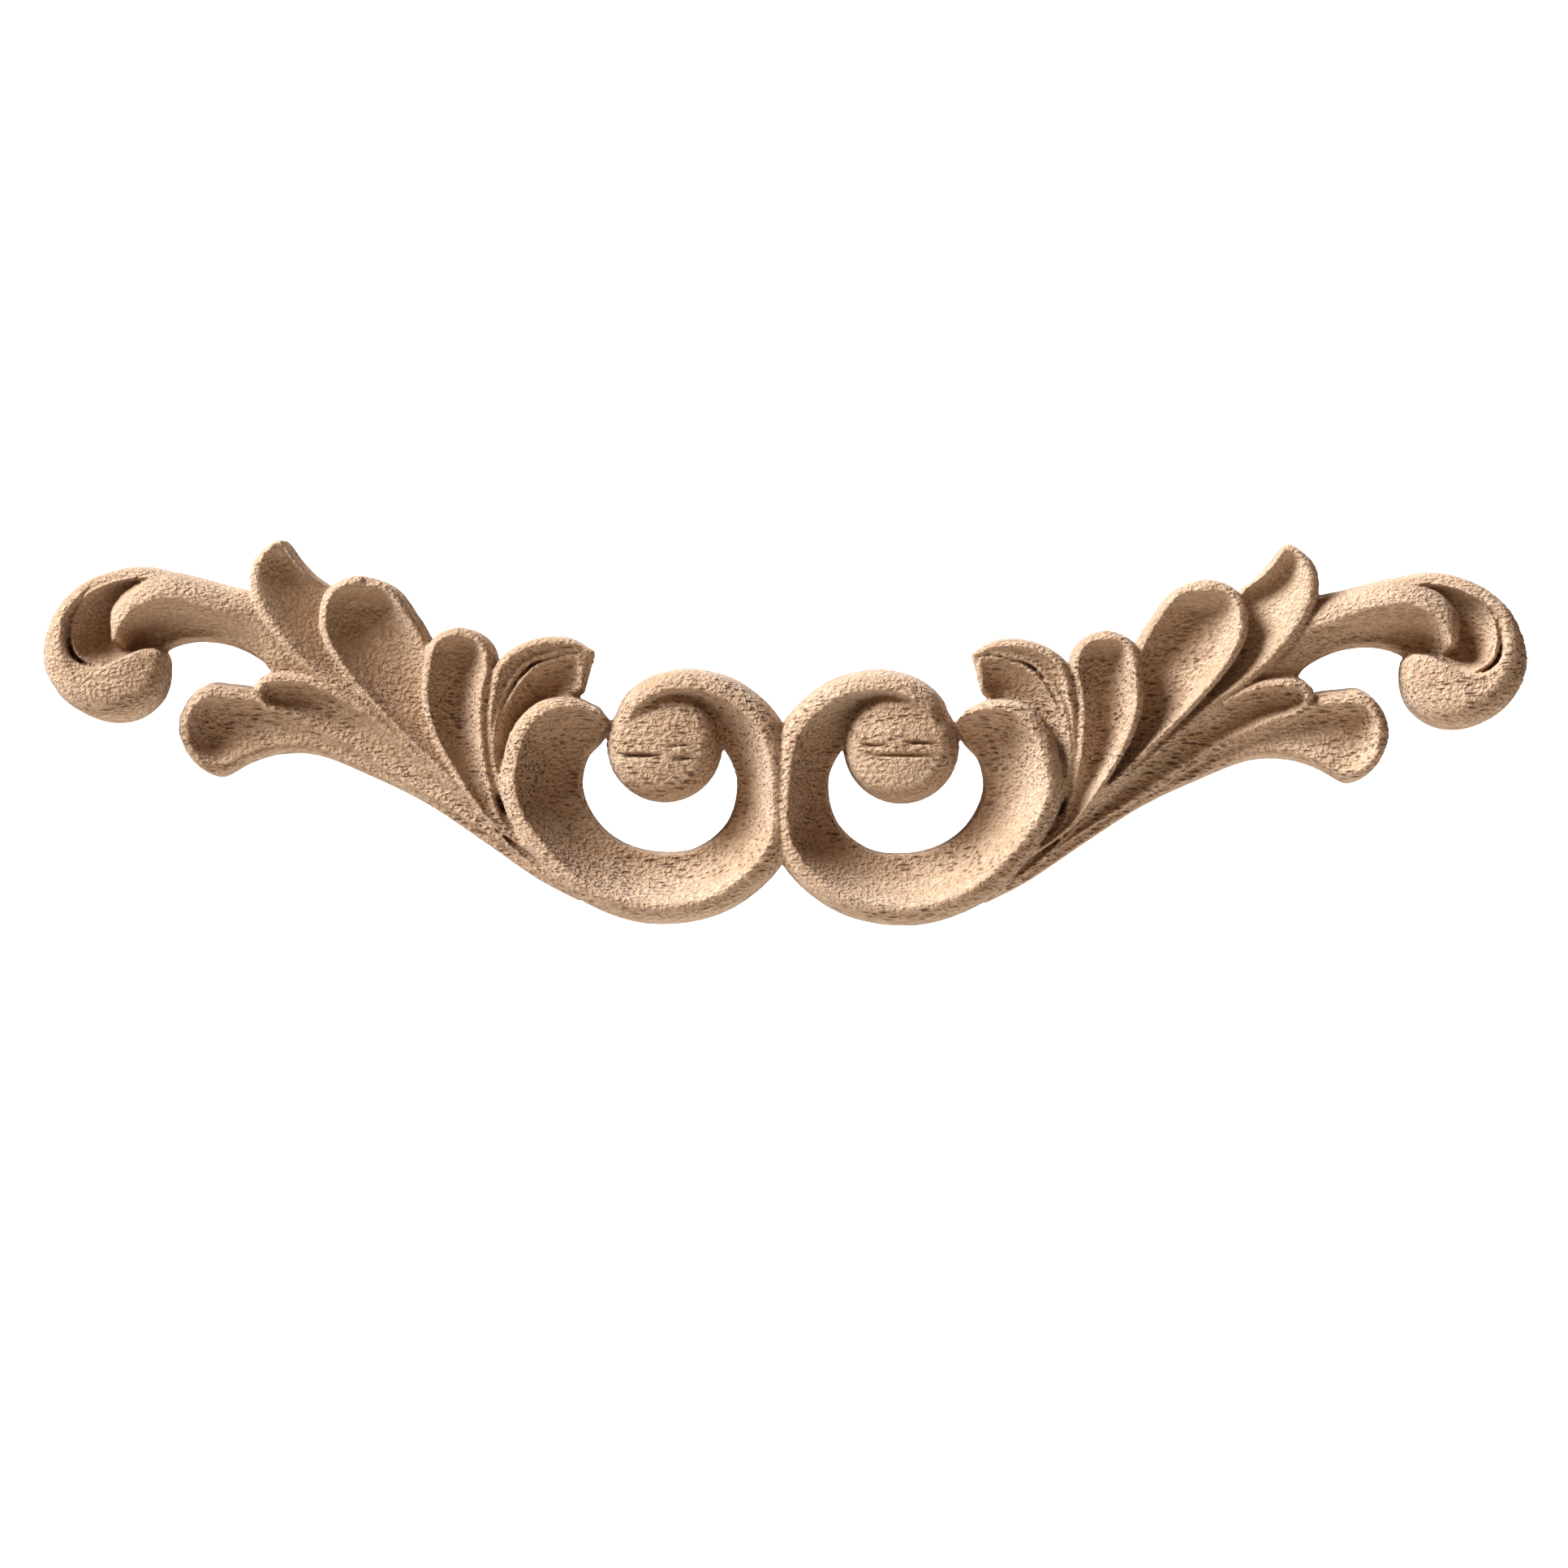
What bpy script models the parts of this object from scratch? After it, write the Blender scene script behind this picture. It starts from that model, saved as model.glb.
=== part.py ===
"""Carved wooden corner applique: two C-scrolls side by side, each with a wing of leaves and a curled arm.

The applique lies in the X-Z plane with its flat back on Y = 0 and its carving towards -Y. The origin is on
the back face, midway between the two scrolls. Each carved form is a loft over rungs, drawn in millimetres.
"""

import bisect
import math

import bmesh
import bpy
from mathutils import Vector

# Driving dimensions, in millimetres
LENGTH = 200.0
BACK_CUT = 6.0
BACK_CUT_LENGTH = 240.0
WALL_DRAFT = 0.4
BELOW_BACK = 1.0
BELOW_STEP = 0.1

SCROLL_CENTRE = (17.0, 1.5)
SCROLL_HOLLOW = 0.5

EYE_CENTRE = (16.0, 6.2)
EYE_RADIUS = 7.8
EYE_HEIGHT = 8.3
EYE_DOME = 0.5
EYE_RIM = 2.6
EYE_RIM_DROP = 2.8
EYE_SIDES = 40
EYE_FACE_POINTS = 2
EYE_RIM_POINTS = 4

BED_HEIGHT = 2.8
ROOT_HEIGHT = 4.2

# Carving limits: shares of a rung's width or of a lip's height, so that narrow tips stay closed
RIM_ROOM = 0.96
DRAFT_ROOM = 0.4
DEEPEST_ROUNDING = 0.6
DEEPEST_HOLLOW = 0.5
TIP_FLOOR = 1.5
TIP_TURN = 82
TIP_RUNGS = 6

# Facets, edge shading and merging (metres)
FACETS_KEPT = 0.42
SHARP_ANGLE = 40
MERGE = 0.00001

WOOD_COLOUR = (0.60, 0.42, 0.27, 1.0)
WOOD_ROUGHNESS = 0.85

# Radii of the scroll about its centre: angle in degrees, outer edge, inner edge, rim height, inner height
SCROLL_TURN = [
    (51, 12.6, 9.4, 7.6, 6.8),
    (44, 16.2, 9.1, 8.3, 5.0),
    (32, 19.4, 9.0, 8.7, 3.2),
    (16, 20.8, 9.8, 8.8, 2.6),
    (-8, 21.1, 10.1, 8.8, 2.6),
    (-36, 19.5, 9.8, 8.8, 2.6),
    (-62, 19.3, 9.6, 8.8, 2.6),
    (-90, 19.6, 9.7, 8.8, 2.6),
    (-120, 20.2, 10.6, 8.8, 2.6),
    (-150, 20.4, 11.1, 8.8, 2.6),
    (-180, 18.6, 10.8, 8.8, 2.6),
    (-205, 18.6, 9.9, 8.8, 2.6),
    (-229, 17.4, 9.0, 8.8, 2.8),
    (-251, 15.9, 9.2, 8.8, 3.4),
    (-267, 14.6, 8.2, 8.8, 5.4),
    (-280, 13.4, 6.6, 8.5, 7.9),
    (-292, 12.0, 5.2, 8.0, 7.9),
    (-303, 10.3, 4.6, 7.0, 7.4),
]

# Low ground that ties the leaf stems together under their grooves
BED = [
    ((29.5, -9.0), (28.0, -14.0), ROOT_HEIGHT, ROOT_HEIGHT, 0.0),
    ((33.5, 2.0), (33.0, -11.0), ROOT_HEIGHT, ROOT_HEIGHT, 0.0),
    ((36.0, 14.0), (41.0, -5.8), BED_HEIGHT, BED_HEIGHT, 0.0),
    ((43.0, 15.0), (48.5, -0.8), BED_HEIGHT, BED_HEIGHT, 0.0),
    ((52.0, 18.0), (56.0, 2.8), BED_HEIGHT, BED_HEIGHT, 0.0),
    ((60.0, 20.0), (61.0, 5.5), BED_HEIGHT, BED_HEIGHT, 0.0),
    ((66.0, 22.0), (65.5, 8.0), BED_HEIGHT, BED_HEIGHT, 0.0),
]

# Each rung is (upper edge, lower edge, upper rim height, lower rim height, depth of the hollow)
LEAF_ONE = [
    ((29.9, -12.1), (28.8, -11.0), 4.4, 4.0, 0.0),
    ((42.5, -2.4), (39.7, -1.3), 5.0, 4.0, 0.5),
    ((50.7, 4.8), (46.9, 6.3), 5.6, 3.6, 0.9),
    ((58.4, 11.4), (52.9, 13.3), 6.2, 3.2, 1.2),
    ((64.4, 15.7), (57.8, 18.2), 6.4, 3.2, 1.3),
    ((69.0, 20.7), (60.0, 23.1), 6.8, 3.2, 1.4),
    ((71.7, 25.3), (61.1, 27.1), 6.9, 4.0, 1.8),
    ((72.2, 28.3), (63.4, 28.9), 6.8, 5.2, 2.1),
    ((71.7, 30.6), (65.3, 30.9), 6.7, 6.0, 2.0),
    ((70.3, 32.3), (66.5, 32.6), 6.6, 6.4, 1.3),
    ((68.6, 33.2), (67.4, 33.6), 6.5, 6.5, 0.4),
]
LEAF_TWO = [
    ((29.9, -11.8), (28.8, -10.7), 4.8, 4.6, 0.0),
    ((40.8, -3.0), (37.8, -2.1), 5.8, 4.8, 0.7),
    ((48.5, 4.4), (42.5, 4.7), 6.5, 4.8, 1.5),
    ((55.6, 11.4), (45.0, 11.2), 7.0, 4.8, 2.2),
    ((60.0, 16.4), (46.0, 16.7), 7.2, 4.9, 2.8),
    ((62.6, 21.1), (48.4, 21.9), 7.3, 5.4, 3.2),
    ((62.6, 25.3), (50.4, 25.1), 7.2, 5.9, 3.4),
    ((62.4, 29.2), (50.6, 28.2), 7.0, 6.3, 3.3),
]
LEAF_THREE = [
    ((29.9, -11.6), (28.8, -10.5), 5.4, 5.2, 0.0),
    ((39.7, -4.3), (36.7, -4.6), 6.5, 5.8, 0.9),
    ((44.1, 1.6), (38.4, 0.9), 7.3, 6.3, 2.0),
    ((47.4, 7.4), (39.3, 6.3), 7.6, 6.8, 2.8),
    ((48.8, 12.3), (39.3, 12.3), 7.8, 7.2, 3.4),
    ((48.6, 16.6), (38.5, 16.2), 7.8, 7.3, 3.6),
    ((48.0, 19.7), (38.7, 18.9), 7.6, 7.3, 3.4),
    ((47.6, 22.0), (38.9, 21.6), 7.4, 7.1, 2.8),
]
FAN_TOP = [
    ((34.3, -7.3), (33.2, -6.7), 5.2, 5.4, 0.0),
    ((38.2, -0.8), (36.9, -0.7), 5.8, 6.0, 0.0),
    ((39.7, 4.7), (38.2, 4.2), 6.2, 6.4, 0.1),
    ((40.0, 9.6), (37.9, 8.8), 6.8, 6.8, 0.3),
    ((39.7, 13.4), (36.7, 12.6), 7.4, 7.0, 0.5),
    ((38.8, 16.9), (35.1, 15.0), 7.8, 7.2, 0.7),
    ((36.5, 19.2), (33.2, 16.9), 8.0, 7.3, 0.7),
    ((32.6, 20.7), (30.2, 17.8), 8.0, 7.3, 0.5),
    ((28.8, 20.6), (27.9, 18.2), 7.6, 7.2, 0.2),
    ((25.6, 18.8), (25.5, 18.0), 7.0, 7.0, 0.0),
]
FAN_LOW = [
    ((34.8, -7.4), (32.6, -6.7), 5.0, 4.6, 0.0),
    ((37.8, -0.9), (34.3, -0.7), 5.6, 4.8, 0.4),
    ((39.0, 4.8), (34.3, 4.7), 6.0, 4.8, 0.7),
    ((38.6, 9.5), (34.1, 8.0), 6.4, 4.8, 0.8),
    ((37.2, 12.8), (33.2, 9.7), 6.7, 4.7, 0.8),
    ((35.4, 15.25), (31.6, 11.0), 6.9, 4.6, 0.8),
    ((33.35, 17.15), (29.9, 11.7), 7.0, 4.6, 0.8),
    ((30.45, 18.25), (28.6, 12.2), 7.0, 4.8, 0.8),
    ((28.1, 18.8), (27.7, 12.6), 7.0, 5.4, 0.6),
    ((26.6, 18.6), (27.2, 13.0), 7.0, 6.2, 0.2),
    ((25.5, 18.5), (26.9, 13.2), 6.8, 6.4, 0.0),
]
LEAF_FOUR = [
    ((28.8, -13.2), (27.5, -14.7), 4.6, 4.2, 0.0),
    ((33.2, -10.0), (31.6, -12.3), 4.8, 4.4, 0.3),
    ((39.7, -4.3), (37.6, -7.5), 4.9, 4.6, 0.6),
    ((45.8, 1.9), (44.1, -3.5), 5.0, 4.6, 0.9),
    ((51.8, 7.9), (50.7, 0.3), 5.5, 4.5, 1.3),
    ((58.4, 12.7), (57.3, 4.4), 6.0, 4.4, 1.7),
    ((63.8, 15.5), (63.3, 7.6), 6.4, 4.7, 2.2),
    ((68.2, 15.9), (67.7, 9.3), 6.6, 5.2, 2.7),
    ((71.6, 15.6), (71.2, 9.6), 6.5, 5.8, 2.8),
]
LEAF_FIVE = [
    ((28.8, -12.2), (27.5, -15.0), 4.6, 3.8, 0.0),
    ((35.4, -7.8), (33.2, -12.0), 4.0, 3.6, 0.1),
    ((42.5, -3.0), (40.8, -6.8), 3.9, 3.6, 0.2),
    ((49.6, 1.9), (48.5, -1.8), 3.9, 3.6, 0.3),
    ((56.7, 6.2), (56.2, 1.9), 4.0, 3.6, 0.3),
    ((62.7, 9.5), (63.0, 4.5), 4.4, 3.6, 0.4),
    ((67.7, 12.0), (68.2, 4.6), 4.9, 3.8, 0.9),
    ((71.5, 13.7), (72.1, 3.4), 5.6, 4.3, 1.6),
    ((75.3, 14.2), (75.7, 1.5), 6.2, 5.0, 2.4),
    ((77.4, 14.4), (77.8, 1.9), 6.7, 5.5, 3.0),
    ((81.4, 14.0), (81.4, 2.6), 7.0, 6.3, 3.4),
]
ARM = [
    ((50.7, 6.3), (49.6, 4.6), 4.0, 3.8, 0.0),
    ((61.1, 16.0), (60.5, 10.4), 4.8, 4.4, 0.0),
    ((67.1, 22.0), (67.8, 14.2), 5.6, 4.6, 0.0),
    ((71.3, 26.3), (70.6, 17.2), 6.3, 4.6, 0.0),
    ((75.3, 27.5), (74.6, 19.2), 7.1, 4.2, 0.2),
    ((79.4, 28.6), (78.8, 19.8), 7.7, 3.5, 0.7),
    ((83.5, 29.3), (82.2, 19.2), 8.1, 3.0, 1.3),
    ((87.6, 28.0), (84.9, 17.8), 8.2, 2.8, 1.6),
    ((90.4, 25.4), (87.4, 17.0), 8.0, 3.0, 1.2),
    ((91.4, 22.1), (89.4, 17.0), 7.4, 3.8, 0.4),
]
CURL = [
    ((81.9, 29.1), (81.3, 27.6), 5.6, 6.2, 0.0),
    ((86.3, 30.0), (85.6, 28.2), 6.0, 6.8, 0.0),
    ((90.7, 29.5), (89.5, 27.6), 6.6, 7.2, 0.0),
    ((95.0, 27.5), (93.1, 26.0), 7.2, 7.4, 0.0),
    ((98.2, 24.0), (95.6, 24.0), 7.8, 7.7, 0.0),
    ((100.0, 18.8), (96.2, 21.3), 8.2, 7.9, 0.0),
    ((99.2, 14.4), (95.8, 18.4), 8.6, 8.3, 0.0),
    ((96.4, 11.0), (94.2, 16.9), 9.0, 8.4, 0.0),
    ((91.8, 8.9), (91.8, 16.5), 9.3, 8.8, 0.0),
    ((87.4, 9.2), (89.2, 17.7), 8.9, 8.6, 0.0),
    ((84.0, 11.9), (86.6, 18.9), 8.0, 7.9, 0.0),
    ((82.6, 15.9), (83.7, 19.3), 7.0, 7.0, 0.0),
]
CHANNEL = [
    ((83.0, 28.8), (83.0, 27.8), 5.8, 5.6, 0.0),
    ((87.4, 28.9), (86.8, 27.0), 6.2, 5.0, 0.3),
    ((91.4, 28.1), (89.2, 25.7), 6.6, 4.2, 0.5),
    ((94.3, 26.3), (89.9, 23.8), 7.0, 3.6, 0.8),
    ((96.0, 23.9), (90.0, 21.9), 7.2, 3.5, 1.0),
    ((96.5, 20.8), (89.7, 20.2), 7.4, 3.5, 1.0),
    ((95.6, 17.8), (89.3, 18.7), 7.3, 3.8, 0.8),
    ((92.5, 15.8), (88.0, 18.6), 6.9, 4.6, 0.5),
    ((88.6, 15.2), (86.0, 19.2), 6.0, 4.8, 0.2),
]

# What a carved form does where its own settings say nothing else
PLAIN_FORM = {
    "count": 18, "crowding": 1.5, "tip_length": 0.0, "tip_rim": 0.0, "pivot": 0.5, "below": BELOW_BACK,
    "rim_a": (1.1, 1.1), "rim_b": (1.1, 1.1), "roundness": 1.1, "flank_a": 3, "flank_b": 3,
    "floor_points": 5, "share": (0.5, 0.5), "soft": False, "cove": 1.0, "lean": 0.7, "bowl": 2.6,
}
SCROLL_FORM = {
    "count": 52, "crowding": 1.0, "rim_a": (2.1, 2.8), "rim_b": (0.2, 0.2), "cove": 1.7, "flank_a": 4,
}
FORMS = [
    ("bed", BED, {
        "count": 7, "crowding": 1.0, "rim_a": (0.3, 0.3), "rim_b": (0.3, 0.3), "floor_points": 1,
    }),
    ("fan_low", FAN_LOW, {
        "crowding": 1.2, "rim_a": (0.4, 0.4), "rim_b": (0.5, 0.5), "lean": 1.0, "tip_rim": 0.8,
    }),
    ("fan_top", FAN_TOP, {"crowding": 1.2, "rim_b": (0.2, 0.2)}),
    ("leaf_three", LEAF_THREE, {
        "rim_a": (0.5, 1.2), "rim_b": (0.5, 1.2), "lean": 1.1, "bowl": 2.8,
        "tip_length": 3.4, "tip_rim": 1.4,
    }),
    ("leaf_two", LEAF_TWO, {
        "rim_a": (0.4, 1.2), "rim_b": (0.4, 1.1), "lean": 1.0, "bowl": 2.8,
        "tip_length": 4.4, "tip_rim": 1.7,
    }),
    ("leaf_one", LEAF_ONE, {
        "count": 17, "rim_a": (0.4, 1.4), "rim_b": (0.4, 0.7), "lean": 1.2, "bowl": 3.0, "tip_rim": 1.0,
    }),
    ("leaf_four", LEAF_FOUR, {
        "rim_a": (0.4, 1.3), "rim_b": (0.4, 1.1), "tip_length": 3.0, "tip_rim": 1.3, "pivot": 0.4,
    }),
    ("leaf_five", LEAF_FIVE, {"rim_a": (0.4, 1.9), "rim_b": (0.1, 1.3), "tip_length": 4.6, "tip_rim": 1.7}),
    ("arm", ARM, {
        "count": 24, "flank_a": 5, "rim_a": (3.0, 3.6), "rim_b": (0.5, 0.5), "soft": True,
        "tip_length": 1.8, "tip_rim": 1.5,
    }),
    ("curl", CURL, {
        "count": 30, "crowding": 1.0, "rim_a": (5.0, 2.8), "rim_b": (0.1, 0.8), "roundness": 0.95,
        "share": (0.92, 0.7), "tip_length": 1.5, "floor_points": 1, "flank_a": 4, "flank_b": 4,
    }),
    ("channel", CHANNEL, {
        "crowding": 1.0, "rim_a": (0.5, 0.5), "rim_b": (0.2, 0.2), "roundness": 2.0, "cove": 1.5,
    }),
]


def millimetres(value):
    """Blender's metres for a size given in millimetres."""
    return value * 0.001


def clear_scene():
    """Empty the scene the script starts in."""
    for obj in list(bpy.data.objects):
        bpy.data.objects.remove(obj, do_unlink=True)


def wood_material():
    """Raw pale hardwood, as it leaves the carving machine."""
    wood = bpy.data.materials.new("raw_wood")
    wood.use_nodes = True
    shader = wood.node_tree.nodes["Principled BSDF"]
    shader.inputs["Base Color"].default_value = WOOD_COLOUR
    shader.inputs["Roughness"].default_value = WOOD_ROUGHNESS
    return wood


def collection(name):
    """A collection linked to the scene."""
    new = bpy.data.collections.new(name)
    bpy.context.scene.collection.children.link(new)
    return new


def add_object(name, mesh, home, material):
    """A bmesh as an object, shaded smooth but for its sharp edges."""
    data = bpy.data.meshes.new(name)
    mesh.to_mesh(data)
    mesh.free()
    data.materials.append(material)
    data.shade_smooth()
    data.set_sharp_from_angle(angle=math.radians(SHARP_ANGLE))
    obj = bpy.data.objects.new(name, data)
    home.objects.link(obj)
    return obj


def skin(mesh, rings):
    """Faces between each ring of corners and the next."""
    for ring, following in zip(rings, rings[1:]):
        for k in range(len(ring)):
            n = (k + 1) % len(ring)
            mesh.faces.new((ring[k], ring[n], following[n], following[k]))


def stations(total, count, crowding, tip_length):
    """Distances along a loft: closer together towards the tip, and closest where the tip rounds over."""
    body = total - tip_length
    places = [body * (1 - (1 - k / (count - 1)) ** crowding) for k in range(count)]
    if tip_length:
        for k in range(1, TIP_RUNGS + 1):
            places.append(body + tip_length * math.sin(math.radians(TIP_TURN) * k / TIP_RUNGS))
    return places


def smooth_rungs(rungs, count, crowding, tip_length):
    """Rungs read along a smooth curve through the given ones, each with its distance from the tip."""
    rows = [[*upper, *lower, *rest] for upper, lower, *rest in rungs]
    middles = [Vector(((r[0] + r[2]) / 2, (r[1] + r[3]) / 2)) for r in rows]
    knots = [0.0]
    for before, after in zip(middles, middles[1:]):
        knots.append(knots[-1] + (after - before).length)
    last = len(rows) - 1
    slopes = []
    for i in range(len(rows)):
        a = max(i - 1, 0)
        b = min(i + 1, last)
        slopes.append([(q - p) / (knots[b] - knots[a]) for p, q in zip(rows[a], rows[b])])
    result = []
    for place in stations(knots[-1], count, crowding, tip_length):
        i = min(bisect.bisect_right(knots, place) - 1, last - 1)
        span = knots[i + 1] - knots[i]
        t = (place - knots[i]) / span
        end_weight = 3 * t**2 - 2 * t**3
        start_slope = (t**3 - 2 * t**2 + t) * span
        end_slope = (t**3 - t**2) * span
        row = []
        for p, q, m, n in zip(rows[i], rows[i + 1], slopes[i], slopes[i + 1]):
            row.append(p + (q - p) * end_weight + start_slope * m + end_slope * n)
        result.append((knots[-1] - place, place / knots[-1], row))
    return result


def close_tip(row, to_tip, length, pivot):
    """Draw both edges in to a point between them; tell by how much, and how slanted the rims then run."""
    if not length or to_tip >= length:
        return row, 1.0, 1.0
    x = 1 - to_tip / length
    keep = math.sqrt(1 - x * x)
    edge_a = Vector(row[0:2])
    edge_b = Vector(row[2:4])
    turn = edge_a.lerp(edge_b, pivot)
    slant = math.hypot(1, (edge_b - edge_a).length / 2 * x / (length * keep))
    return [*turn.lerp(edge_a, keep), *turn.lerp(edge_b, keep), *row[4:]], keep, slant


def flank(lip, draft, rim, reach, slant, to_tip, count, shape):
    """Distance from the edge and height, from under the foot of a wall up its rounded rim to the lip."""
    drop = min(rim * shape["roundness"], lip * DEEPEST_ROUNDING)
    slope = draft / (lip - drop)
    most = to_tip / shape["tip_rim"] if shape["tip_rim"] else 1.0
    points = [(-slope * shape["below"], -shape["below"])]
    for k in range(count):
        angle = math.pi / 2 * k / (count - 1)
        run = reach * (1 - math.cos(angle))
        level = min(run / (rim * slant), most, 1.0)
        points.append((draft + run, lip - drop * (1 - math.sqrt(1 - (1 - level) ** 2))))
    return points


def floor_level(v, start, end, depth, shape):
    """Height of the floor between the lips, at a share v of the way across it."""
    if shape["soft"]:
        fall = (1 + math.cos(math.pi * v)) / 2
    else:
        fall = (1 - v) ** shape["cove"]
    dip = depth * (1 - abs(2 * v ** shape["lean"] - 1) ** shape["bowl"])
    return end[1] + (start[1] - end[1]) * fall - min(dip, (end[0] - start[0]) * DEEPEST_HOLLOW)


def section(open_row, to_tip, along, shape):
    """Points across one rung as (x, z, height), from below one edge, over the top, to below the other."""
    row, keep, slant = close_tip(open_row, to_tip, shape["tip_length"], shape["pivot"])
    edge_a = Vector(row[0:2])
    edge_b = Vector(row[2:4])
    width = (edge_b - edge_a).length
    across = (edge_b - edge_a) / width
    share = shape["share"][0] + (shape["share"][1] - shape["share"][0]) * along
    depth = row[6]
    tip_rim = shape["tip_rim"]
    if tip_rim:
        depth *= math.sqrt(min(max((to_tip - tip_rim) / (tip_rim * TIP_FLOOR), 0.0), 1.0))
    sides = []
    for lip, part, rims, points in ((4, share, "rim_a", "flank_a"), (5, 1 - share, "rim_b", "flank_b")):
        room = width * part * RIM_ROOM
        draft = min(WALL_DRAFT, room * DRAFT_ROOM)
        at_root, at_tip = shape[rims]
        rim = at_root + (at_tip - at_root) * along
        rim = min(rim, room / keep - draft)
        reach = min(rim * slant, room - draft)
        sides.append(flank(row[lip], draft, rim, reach, slant, to_tip, shape[points], shape))
    first = sides[0]
    second = [(width - d, h) for d, h in reversed(sides[1])]
    start = first[-1]
    end = second[0]
    middle = []
    for k in range(1, shape["floor_points"] + 1):
        v = k / (shape["floor_points"] + 1)
        middle.append((start[0] + (end[0] - start[0]) * v, floor_level(v, start, end, depth, shape)))
    return [(*(edge_a + across * d), h) for d, h in first + middle + second]


def loft(name, rungs, home, material, changes):
    """A carved form: a closed skin over the rungs, with rims, a hollow and slightly drafted walls."""
    shape = {**PLAIN_FORM, **changes}
    mesh = bmesh.new()
    rings = []
    for to_tip, along, row in smooth_rungs(rungs, shape["count"], shape["crowding"], shape["tip_length"]):
        points = section(row, to_tip, along, shape)
        rings.append([mesh.verts.new([millimetres(v) for v in (x, -h, z)]) for x, z, h in points])
    skin(mesh, rings)
    mesh.faces.new(rings[0])
    mesh.faces.new(rings[-1])
    bmesh.ops.recalc_face_normals(mesh, faces=mesh.faces)
    bmesh.ops.triangulate(mesh, faces=mesh.faces)
    return add_object(name, mesh, home, material)


def scroll_rungs():
    """Rungs of the scroll, from its hooked start, round the opening, to the top of the eye."""
    rungs = []
    cx, cz = SCROLL_CENTRE
    for degrees, outer, inner, rim, low in SCROLL_TURN:
        c = math.cos(math.radians(degrees))
        s = math.sin(math.radians(degrees))
        outer_edge = (cx + outer * c, cz + outer * s)
        inner_edge = (cx + inner * c, cz + inner * s)
        rungs.append((outer_edge, inner_edge, rim, low, SCROLL_HOLLOW))
    return rungs


def eye(home, material):
    """The eye inside the scroll, turned: a gently domed face, a rounded rim and a drafted wall."""
    lip = EYE_RADIUS - WALL_DRAFT - EYE_RIM
    profile = [(lip * k / EYE_FACE_POINTS, EYE_HEIGHT - EYE_DOME * (k / EYE_FACE_POINTS) ** 2)
               for k in range(EYE_FACE_POINTS)]
    for k in range(EYE_RIM_POINTS + 1):
        angle = math.pi / 2 * k / EYE_RIM_POINTS
        height = EYE_HEIGHT - EYE_DOME - EYE_RIM_DROP * (1 - math.cos(angle))
        profile.append((lip + EYE_RIM * math.sin(angle), height))
    profile.append((EYE_RADIUS, 0.0))
    profile.append((EYE_RADIUS, -BELOW_BACK))
    profile.append((0.0, -BELOW_BACK))
    mesh = bmesh.new()
    corners = [mesh.verts.new((millimetres(r), 0.0, millimetres(height))) for r, height in profile]
    for corner, following in zip(corners, corners[1:]):
        mesh.edges.new((corner, following))
    turned = add_object("scroll_eye", mesh, home, material)
    cx, cz = EYE_CENTRE
    turned.location = (millimetres(cx), 0.0, millimetres(cz))
    turned.rotation_euler = (math.pi / 2, 0.0, 0.0)
    screw = turned.modifiers.new("turned", "SCREW")
    screw.steps = EYE_SIDES
    screw.render_steps = EYE_SIDES
    screw.use_merge_vertices = True
    screw.merge_threshold = MERGE
    return turned


def back_cutter(home, material):
    """A block behind the back plane, for cutting every form flat there."""
    mesh = bmesh.new()
    bmesh.ops.create_cube(mesh, size=1.0)
    size = Vector([millimetres(v) for v in (BACK_CUT_LENGTH, BACK_CUT, LENGTH)])
    for vert in mesh.verts:
        vert.co = vert.co * size
        vert.co.y += size.y / 2
    return add_object("back_block", mesh, home, material)


def boolean(body, other, operation, name):
    """Join another closed form to the body, or cut it away."""
    other.hide_render = True
    other.display_type = "WIRE"
    step = body.modifiers.new(name, "BOOLEAN")
    step.operation = operation
    step.solver = "EXACT"
    step.object = other


def build():
    """Model one wing and its scroll, cut the back flat and mirror it about the middle."""
    clear_scene()
    parts = collection("corner_applique")
    cutters = collection("cutters")
    wood = wood_material()
    applique = loft("carved_applique", scroll_rungs(), parts, wood, SCROLL_FORM)
    boolean(applique, eye(cutters, wood), "UNION", "join_scroll_eye")
    for k, (name, rungs, changes) in enumerate(FORMS):
        below = BELOW_BACK + BELOW_STEP * (k + 1)
        form = loft(name, rungs, cutters, wood, {**changes, "below": below})
        boolean(applique, form, "UNION", "join_" + name)
    boolean(applique, back_cutter(cutters, wood), "DIFFERENCE", "flat_back")
    fewer = applique.modifiers.new("fewer_facets", "DECIMATE")
    fewer.ratio = FACETS_KEPT
    mirror = applique.modifiers.new("other_half", "MIRROR")
    mirror.use_axis[0] = True
    mirror.use_bisect_axis[0] = True
    mirror.bisect_threshold = MERGE
    mirror.merge_threshold = MERGE


build()
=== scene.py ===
# %% [markdown]
# # A carved wooden corner applique
#
# The real object is a thin relief, cut by a carving machine from one piece of pale raw hardwood: two
# C-scrolls side by side, each with a domed eye and a wing of leaves that ends in a curled arm. Its back
# is flat, so that it can be glued on a drawer or a door. This lesson carves it again in Blender: every
# leaf is a smooth loft, all lofts are fused into one skin, and the tool's fuzz and torn fibre are
# pushed into that skin with Geometry Nodes.

import bisect
import math

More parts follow.
